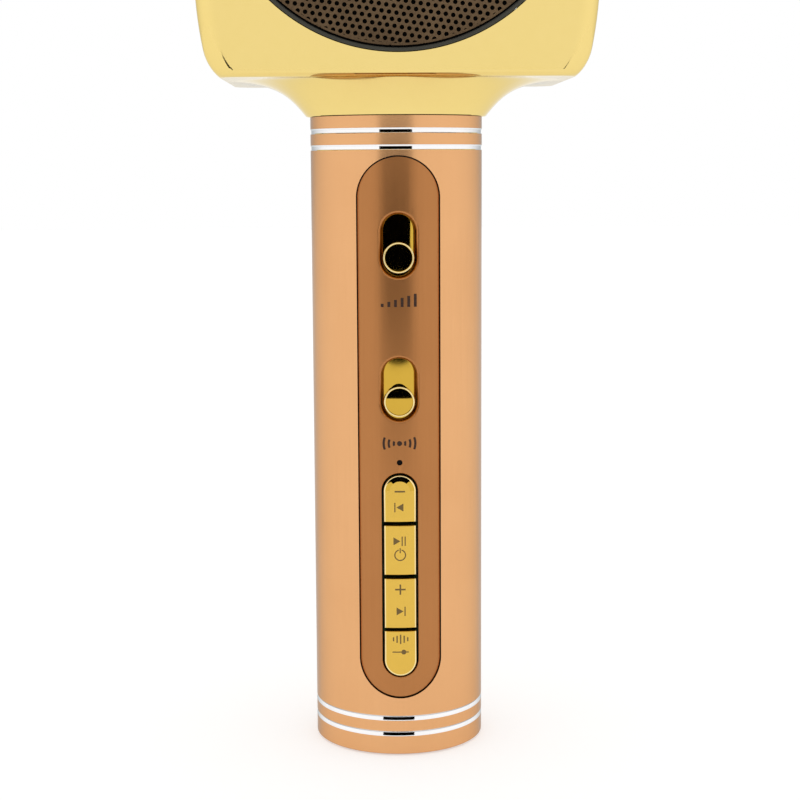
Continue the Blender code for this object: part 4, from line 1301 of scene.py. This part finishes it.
    def skin(self, name: str) -> Mesh:
        """Extrudes a ring of edges from level to level and shapes each new ring.

        Args:
            name: the name of the shell.

        Returns:
            The outer skin, still open at both ends.
        """
        rings = self.rings()
        Bench.clear_selection()
        bpy.ops.mesh.primitive_circle_add(vertices=len(rings[0]), radius=self.opening)
        item = Bench.started(name)
        bpy.ops.object.mode_set(mode="EDIT")
        shape = bmesh.from_edit_mesh(item.data)
        shape.verts.ensure_lookup_table()
        row = sorted(shape.verts, key=lambda v: math.atan2(v.co.y, v.co.x) % (2 * math.pi))
        for vert, point in zip(row, rings[0]):
            vert.co = point
        for ring in rings[1:]:
            last = set(row)
            touching = {edge for vert in row for edge in vert.link_edges}
            edges = {edge for edge in touching if last.issuperset(edge.verts)}
            made = bmesh.ops.extrude_edge_only(shape, edges=list(edges))
            fresh = [v for v in made["geom"] if isinstance(v, bmesh.types.BMVert)]
            near = {tuple(round(c, 7) for c in v.co): v for v in fresh}
            row = [near[tuple(round(c, 7) for c in vert.co)] for vert in row]
            for vert, point in zip(row, ring):
                vert.co = point
        bmesh.ops.remove_doubles(shape, verts=shape.verts, dist=0.0005 * MM)
        bmesh.ops.recalc_face_normals(shape, faces=shape.faces)
        bmesh.update_edit_mesh(item.data)
        bpy.ops.object.mode_set(mode="OBJECT")
        return item

    def build(self) -> None:
        """Models both shells."""
        for side in Side:
            shell = self.skin(f"head_shell_{side.label}_plated")
            Bench.hold(shell)
            bpy.ops.object.mode_set(mode="EDIT")
            bpy.ops.mesh.select_all(action="SELECT")
            bpy.ops.mesh.bisect(
                plane_co=(0, side.value * self.parting, 0),
                plane_no=(0, -side.value, 0),
                clear_outer=True,
                threshold=1e-7,
            )
            bpy.ops.object.mode_set(mode="OBJECT")
            Bench.modify(shell, "SOLIDIFY", thickness=self.wall, offset=-1, use_even_offset=False)
            hole = Bench.turned("mouth", self.mouth_profile(), 192, closed=False)
            Bench.outward(hole, side, (0, 0, self.centre))
            Bench.combine(shell, hole, Cut.AWAY)
            Bench.tidy(shell, 24)
            Bench.faired(shell)
            dress(shell, self.paint(GOLD))
            hand_over(shell, "body", "gold_plating", f"head_shell_{side.label}")

    def mouth_profile(self) -> list[Span]:
        """The cutter of the round opening, which leaves a rolled edge on the face."""
        roll = 0.15 * MM
        points = [(0.0, self.half_depth + 3 * MM), (self.opening + roll, self.half_depth + 3 * MM)]
        for step in range(5):
            turn = math.radians(22.5 * step)
            across, back = roll * (1 - math.sin(turn)), roll * (1 - math.cos(turn))
            points.append((self.opening + across, self.half_depth - back))
        return points + [(self.opening, self.half_depth - 8 * MM), (0.0, self.half_depth - 8 * MM)]


def bezier(controls: Sequence[float], t: float) -> float:
    """A cubic curve through four control values, at t from 0 to 1."""
    a, b, c, d = controls
    u = 1 - t
    return a * u**3 + 3 * b * u * u * t + 3 * c * u * t * t + d * t**3


@dataclass
class Speaker:
    """One face's perforated grille, its trim ring and what shows behind it."""

    paint: Paintbox
    side: Side
    centre: float = 191.2 * MM
    trim_outer: float = 38.2 * MM
    trim_inner: float = 37.5 * MM
    trim_ledge: float = 34.8 * MM
    trim_span: Point = (25.1 * MM, 25.9 * MM, 28.25 * MM)
    cloth_radius: float = 37.3 * MM
    cloth_span: Span = (25.95 * MM, 26.15 * MM)
    grille_radius: float = 36.95 * MM
    grille_span: Span = (26.2 * MM, 27.1 * MM)
    pitch: float = 1.54 * MM
    hole: float = 0.48 * MM
    tilt: float = 9.0
    shift: Span = (0.58 * MM, 0.58 * MM)
    rim: float = 0.45 * MM

    def build(self) -> None:
        """Models the trim ring, the grille and the cloth behind it."""
        back, ledge, front = self.trim_span
        edge = 0.12 * MM
        ring = [
            (self.trim_outer, back),
            (self.trim_ledge, back),
            (self.trim_ledge, ledge),
            (self.trim_inner, ledge),
            (self.trim_inner, front - edge),
            (self.trim_inner + edge, front),
            (self.trim_outer - edge, front),
            (self.trim_outer, front - edge),
        ]
        trim = Bench.turned(f"{self.side.label}_trim_ring_turned", ring, 192)
        Bench.outward(trim, self.side, (0, 0, self.centre))
        Bench.tidy(trim, 40)
        dress(trim, self.paint(TRIM_GREY))
        hand_over(trim, "body", "dark_trim", f"{self.side.label}_trim_ring")
        low, high = self.cloth_span
        disc = [(0.0, low), (self.cloth_radius, low), (self.cloth_radius, high), (0.0, high)]
        cloth = Bench.turned(f"{self.side.label}_dust_cloth_woven", disc, 96, closed=False)
        Bench.outward(cloth, self.side, (0, 0, self.centre))
        dress(cloth, self.paint(CLOTH_BLACK))
        hand_over(cloth, "body", "black_cloth", f"{self.side.label}_dust_cloth")
        grille = self.perforated()
        Bench.outward(grille, self.side, (0, 0, self.centre))
        dress(grille, self.paint(GRILLE_BROWN))
        hand_over(grille, "body", "grille_brown", f"{self.side.label}_grille")

    def cell(self) -> Mesh:
        """One six-sided tile of sheet with a round hole in its middle."""
        corners = 12
        Bench.clear_selection()
        bpy.ops.mesh.primitive_circle_add(vertices=corners, radius=self.hole, fill_type="NOTHING")
        item = Bench.started("tile")
        bpy.ops.object.mode_set(mode="EDIT")
        bpy.ops.mesh.select_all(action="SELECT")
        bpy.ops.mesh.extrude_region_move()
        shape = bmesh.from_edit_mesh(item.data)
        flat = self.pitch / 2
        for vert in shape.verts:
            if vert.select:
                angle = math.atan2(vert.co.y, vert.co.x)
                turn = (angle + math.pi / 6) % (math.pi / 3) - math.pi / 6
                reach = flat / math.cos(turn)
                vert.co = (reach * math.cos(angle), reach * math.sin(angle), 0)
        bmesh.update_edit_mesh(item.data)
        bpy.ops.object.mode_set(mode="OBJECT")
        return item

    def perforated(self) -> Mesh:
        """Lays tiles over the disc, rounds its edge and gives it thickness."""
        tile = self.cell()
        points = [tuple(v.co) for v in tile.data.vertices]
        faces = [tuple(p.vertices) for p in tile.data.polygons]
        bpy.data.objects.remove(tile, do_unlink=True)
        rows = int(self.grille_radius / (self.pitch * 0.866)) + 2
        turn = math.radians(self.tilt) * self.side.value
        cosine, sine = math.cos(turn), math.sin(turn)
        verts: list[Point] = []
        quads: list[tuple[int, ...]] = []
        limit = self.grille_radius
        for row in range(-rows, rows + 1):
            for column in range(-rows - 4, rows + 5):
                x = (column + 0.5 * (row % 2)) * self.pitch + self.shift[0]
                y = row * self.pitch * math.sqrt(3) / 2 + self.shift[1]
                if math.hypot(x, y) > limit + 0.1 * self.pitch:
                    continue
                start = len(verts)
                for px, py, _ in points:
                    wx, wy = x + px, y + py
                    reach = math.hypot(wx, wy)
                    pull = min(1.0, limit / reach) if reach else 1.0
                    wx, wy = wx * pull, wy * pull
                    verts.append((wx * cosine - wy * sine, wx * sine + wy * cosine, 0))
                quads += [tuple(start + i for i in face) for face in faces]
        mesh = bpy.data.meshes.new("perforated")
        mesh.from_pydata(verts, [], quads)
        item = bpy.data.objects.new(f"{self.side.label}_grille_perforated", mesh)
        bpy.context.scene.collection.objects.link(item)
        Bench.hold(item)
        bpy.ops.object.mode_set(mode="EDIT")
        bpy.ops.mesh.select_all(action="SELECT")
        bpy.ops.mesh.remove_doubles(threshold=0.02 * MM)
        bpy.ops.mesh.dissolve_degenerate(threshold=0.01 * MM)
        bpy.ops.mesh.select_all(action="SELECT")
        bpy.ops.mesh.normals_make_consistent(inside=False)
        bpy.ops.object.mode_set(mode="OBJECT")
        low, high = self.grille_span
        Bench.moved(item, Matrix.Translation((0, 0, high)))
        top_is_up = sum(p.normal.z for p in item.data.polygons) > 0
        Bench.modify(item, "SOLIDIFY", thickness=high - low, offset=-1 if top_is_up else 1)
        inner, outer = limit - self.rim, limit
        edge = [(outer, low), (inner, low), (inner, high + 0.01 * MM), (outer, high + 0.01 * MM)]
        rim = Bench.turned("rim", edge, 192)
        Bench.hold(item)
        rim.select_set(True)
        bpy.ops.object.join()
        bpy.ops.object.shade_smooth_by_angle(angle=math.radians(35))
        Bench.clear_selection()
        return item


# ---------------------------------------------------------------------------------------------
# Basket
# ---------------------------------------------------------------------------------------------


@dataclass
class Basket:
    """The wire-mesh ball on the crown, and the ring that it stands in."""

    paint: Paintbox
    centre: float = 241.0 * MM
    radius: float = 26.0 * MM
    bottom: float = 238.8 * MM
    pitch: float = 1.7 * MM
    wire: float = 0.42 * MM
    ring_outer: float = 26.6 * MM
    ring_span: tuple[float, float, float, float] = (229.0 * MM, 230.6 * MM, 235.3 * MM, 238.5 * MM)
    ring_spigot: float = 21.2 * MM
    ring_bore: float = 19.9 * MM
    web_bore: float = 8.6 * MM

    def build(self) -> None:
        """Models the ring and the ball."""
        self.make_ring()
        self.make_ball()

    def make_ring(self) -> None:
        """Spins the ring with rolled edges and a seat groove."""
        bottom, web, shoulder, top = self.ring_span
        roll = 0.6 * MM
        profile = [(self.ring_bore, top), (self.ring_outer - roll, top)]
        for step in range(1, 6):
            turn = math.radians(18 * step)
            across, up = roll * math.sin(turn), roll * math.cos(turn)
            profile.append((self.ring_outer - roll + across, top - roll + up))
        profile += [
            (self.ring_outer, shoulder + 0.9 * MM),
            (self.ring_outer - 0.25 * MM, shoulder + 0.75 * MM),
            (self.ring_outer - 0.25 * MM, shoulder),
            (self.ring_spigot, shoulder),
            (self.ring_spigot, bottom),
            (self.web_bore, bottom),
            (self.web_bore, web),
            (self.ring_bore, web),
        ]
        ring = Bench.turned("basket_ring_turned", profile, 192)
        dress(ring, self.paint(GOLD))
        hand_over(ring, "body", "gold_plating", "basket_ring")

    def make_ball(self) -> None:
        """Presses a flat square mesh over the ball and turns its edges into wire."""
        skin = self.radius - self.wire / 2
        reach = math.acos((self.bottom + self.wire - self.centre) / skin)
        half = skin * reach
        count = int(2 * half / self.pitch)
        Bench.clear_selection()
        bpy.ops.mesh.primitive_grid_add(x_subdivisions=count, y_subdivisions=count, size=2 * half)
        ball = Bench.started("mic_basket_mesh")
        bpy.ops.object.mode_set(mode="EDIT")
        Bench.pick(ball, "FACE", lambda f: f.calc_center_median().length > half)
        bpy.ops.mesh.delete(type="FACE")
        bpy.ops.object.mode_set(mode="OBJECT")
        for vert in ball.data.vertices:
            distance = min(vert.co.xy.length, half)
            turn = math.atan2(vert.co.y, vert.co.x)
            lean = distance / skin
            across, up = skin * math.sin(lean), skin * math.cos(lean)
            vert.co = (across * math.cos(turn), across * math.sin(turn), self.centre + up)
        wire = {"thickness": self.wire, "use_even_offset": False, "use_boundary": True}
        Bench.modify(ball, "WIREFRAME", **wire)
        Bench.hold(ball)
        bpy.ops.object.shade_smooth_by_angle(angle=math.radians(60))
        Bench.clear_selection()
        dress(ball, self.paint(WIRE_GOLD))
        hand_over(ball, "body", "basket_wire", "mic_basket")


# ---------------------------------------------------------------------------------------------
# Carried-over nodes, studio and main
# ---------------------------------------------------------------------------------------------


NODE_FINISHES: dict[str, Any] = {
    "dust_cloth": CLOTH_BLACK,
    "speaker_frame": NICKEL,
    "speaker_magnet": NICKEL,
    "speaker_cone": PLASTIC_BLACK,
    "screw": NICKEL,
    "potentiometer": NICKEL,
    "switch": NICKEL,
    "chassis": PLASTIC_BLACK,
    "board": BOARD_GREEN,
    "cell": CELL_BLUE,
    "cap": PLASTIC_BLACK,
    "charge_socket": NICKEL,
    "card_socket": NICKEL,
    "audio_socket": PLASTIC_BLACK,
    "foam": FOAM_DARK,
    "mount": RUBBER_BLACK,
    "capsule": NICKEL,
    "light_pipe": PAINTED_SHADE_PIPE,
}


def dress_nodes(paint: Paintbox, nodes: Mapping[str, Mesh]) -> None:
    """Gives every carried-over node the finish whose key comes latest in its name.

    Args:
        paint: where the materials are made.
        nodes: the frame's nodes by name.
    """
    for name, item in nodes.items():
        keys = [key for key in NODE_FINISHES if key in name]
        if keys:
            best = max(keys, key=lambda key: name.rfind(key) + len(key))
            dress(item, paint(NODE_FINISHES[best]))


@dataclass
class Panel:
    """The symbols printed on the control panel, under each slider."""

    paint: Paintbox
    face: float = 18.5 * MM
    volume_level: float = 101.1 * MM
    echo_level: float = 70.1 * MM

    def build(self) -> None:
        """Prints a rising wedge of bars for loudness and widening arcs for echo."""
        marks = Symbols(self.face)
        for i in range(6):
            height = (0.7 + 0.42 * i) * MM
            place = ((i - 2.5) * 1.42 * MM, self.volume_level - 1.35 * MM + height / 2)
            marks.bar(place, 0.62 * MM, height)
        marks.dot((0, self.echo_level), 0.55 * MM)
        for radius in (1.5, 2.6, 3.7):
            tall = 0.36 * radius * MM
            marks.arc((0, self.echo_level), radius * MM, 0.5 * MM, lambda c: abs(c.z) > tall)
        item = marks.joined("panel_marks")
        dress(item, self.paint(INK))
        hand_over(item, "body", "panel_bronze")


@dataclass
class Studio:
    """A white light tent with a dark opening round the lens, a pale floor and the camera."""

    lens: float = 77.48
    distance: float = 386.7 * MM
    height: float = 130.66 * MM
    pitch: float = 7.89
    roll: float = -0.306
    swing: float = -1.15
    yaw: float = -0.081
    front_gain: float = 0.93
    side_gain: float = 0.14
    back_loss: float = 0.10

    def build(self) -> None:
        """Sets up the colours, the light, the floor and the camera."""
        bpy.context.scene.view_settings.view_transform = "Standard"
        self.make_world()
        self.make_floor()
        self.make_dark_opening()
        self.make_camera()

    def make_world(self) -> None:
        """Lights the tent: brighter at its sides, darker behind, and plain white to the lens."""
        world = bpy.data.worlds.new("tent")
        bpy.context.scene.world = world
        world.use_nodes = True
        tree = world.node_tree
        background = tree.nodes["Background"]
        background.inputs["Color"].default_value = (1, 1, 1, 1)
        split = tree.nodes.new("ShaderNodeSeparateXYZ")
        tree.links.new(tree.nodes.new("ShaderNodeTexCoord").outputs["Generated"], split.inputs[0])
        last: Any = 0.0
        seen = tree.nodes.new("ShaderNodeLightPath").outputs["Is Camera Ray"]
        for operation, first, second in (
            ("MULTIPLY", split.outputs[0], split.outputs[0]),
            ("MULTIPLY", None, self.side_gain),
            ("ADD", None, self.front_gain),
            ("MULTIPLY_ADD", split.outputs[1], -self.back_loss),
            ("MAXIMUM", None, seen),
        ):
            step = tree.nodes.new("ShaderNodeMath")
            step.operation = operation
            sources = (last if first is None else first, second, last)
            for socket, source in zip(step.inputs, sources):
                if isinstance(source, bpy.types.NodeSocket):
                    tree.links.new(source, socket)
                else:
                    socket.default_value = source
            last = step.outputs[0]
        tree.links.new(last, background.inputs["Strength"])

    def make_floor(self) -> None:
        """Lays the pale floor, which catches only the faintest shadow."""
        Bench.clear_selection()
        bpy.ops.mesh.primitive_plane_add(size=6, location=(0, 0, -0.05 * MM))
        floor = Bench.started("floor")
        recipe = Recipe("floor_paper")
        fibres = recipe.noise(recipe.place(), 300, 2)
        colour = recipe.blend(fibres, (0.60, 0.60, 0.60), (0.62, 0.62, 0.62))
        glow = {"Emission_Color": (1, 1, 1), "Emission_Strength": 0.46}
        dress(floor, recipe.finished(Base_Color=colour, Roughness=0.9, **glow))

    def make_dark_opening(self) -> None:
        """Hangs the dark cloth round the lens, which the tube and the panel reflect."""
        Bench.clear_selection()
        bpy.ops.mesh.primitive_plane_add(size=1, rotation=(math.pi / 2, 0, 0))
        card = Bench.started("dark_opening")
        size = Matrix.Diagonal((0.31, 1, 0.100, 1))
        Bench.moved(card, Matrix.Translation((-0.014, -0.40, 0.095)) @ size)
        black = {"Base_Color": (0, 0, 0), "Specular_IOR_Level": 0.0, "Roughness": 1.0}
        dress(card, Recipe("dark_cloth").finished(**black))
        card.visible_camera = False
        card.visible_diffuse = False
        card.visible_shadow = False

    def make_camera(self) -> None:
        """Places the camera in front of the handle, a little above its middle."""
        camera = bpy.data.cameras.new("camera")
        camera.lens = self.lens
        camera.sensor_width = 36
        camera.clip_start = 0.01
        item = bpy.data.objects.new("camera", camera)
        bpy.context.scene.collection.objects.link(item)
        turn = (
            Matrix.Rotation(math.radians(self.swing), 4, "Z")
            @ Matrix.Translation((0, -self.distance, self.height))
            @ Matrix.Rotation(math.radians(self.yaw), 4, "Z")
            @ Matrix.Rotation(math.radians(90 - self.pitch), 4, "X")
            @ Matrix.Rotation(math.radians(self.roll), 4, "Z")
        )
        item.matrix_world = turn
        bpy.context.scene.camera = item


def corners(bounds: tuple[Vector, Vector]) -> list[list[float]]:
    """A box's two corners as plain lists."""
    return [list(bounds[0]), list(bounds[1])]


def main() -> None:
    """Builds the microphone round its frame."""
    logging.basicConfig(level=logging.INFO, format="%(message)s")
    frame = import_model()
    paint = Paintbox()
    Studio().build()
    dress_nodes(paint, frame["nodes"])
    handle = Handle(paint)
    handle.build()
    Panel(paint).build()
    for name, middle, dome in zip(("volume", "echo"), handle.slot_centres, (60 * MM, 32 * MM)):
        Slider(paint, name, middle, dome).build()
    for button in (
        Button(paint, "previous", (52.8 * MM, 63.1 * MM), rounded_top=True),
        Button(paint, "play", (41.0 * MM, 52.05 * MM)),
        Button(paint, "next", (29.06 * MM, 40.2 * MM)),
        Button(paint, "tone", (18.3 * MM, 28.4 * MM), rounded_bottom=True),
    ):
        button.build()
    Head(paint).build()
    for side in Side:
        Speaker(paint, side).build()
    Basket(paint).build()


if __name__ == "__main__":
    main()
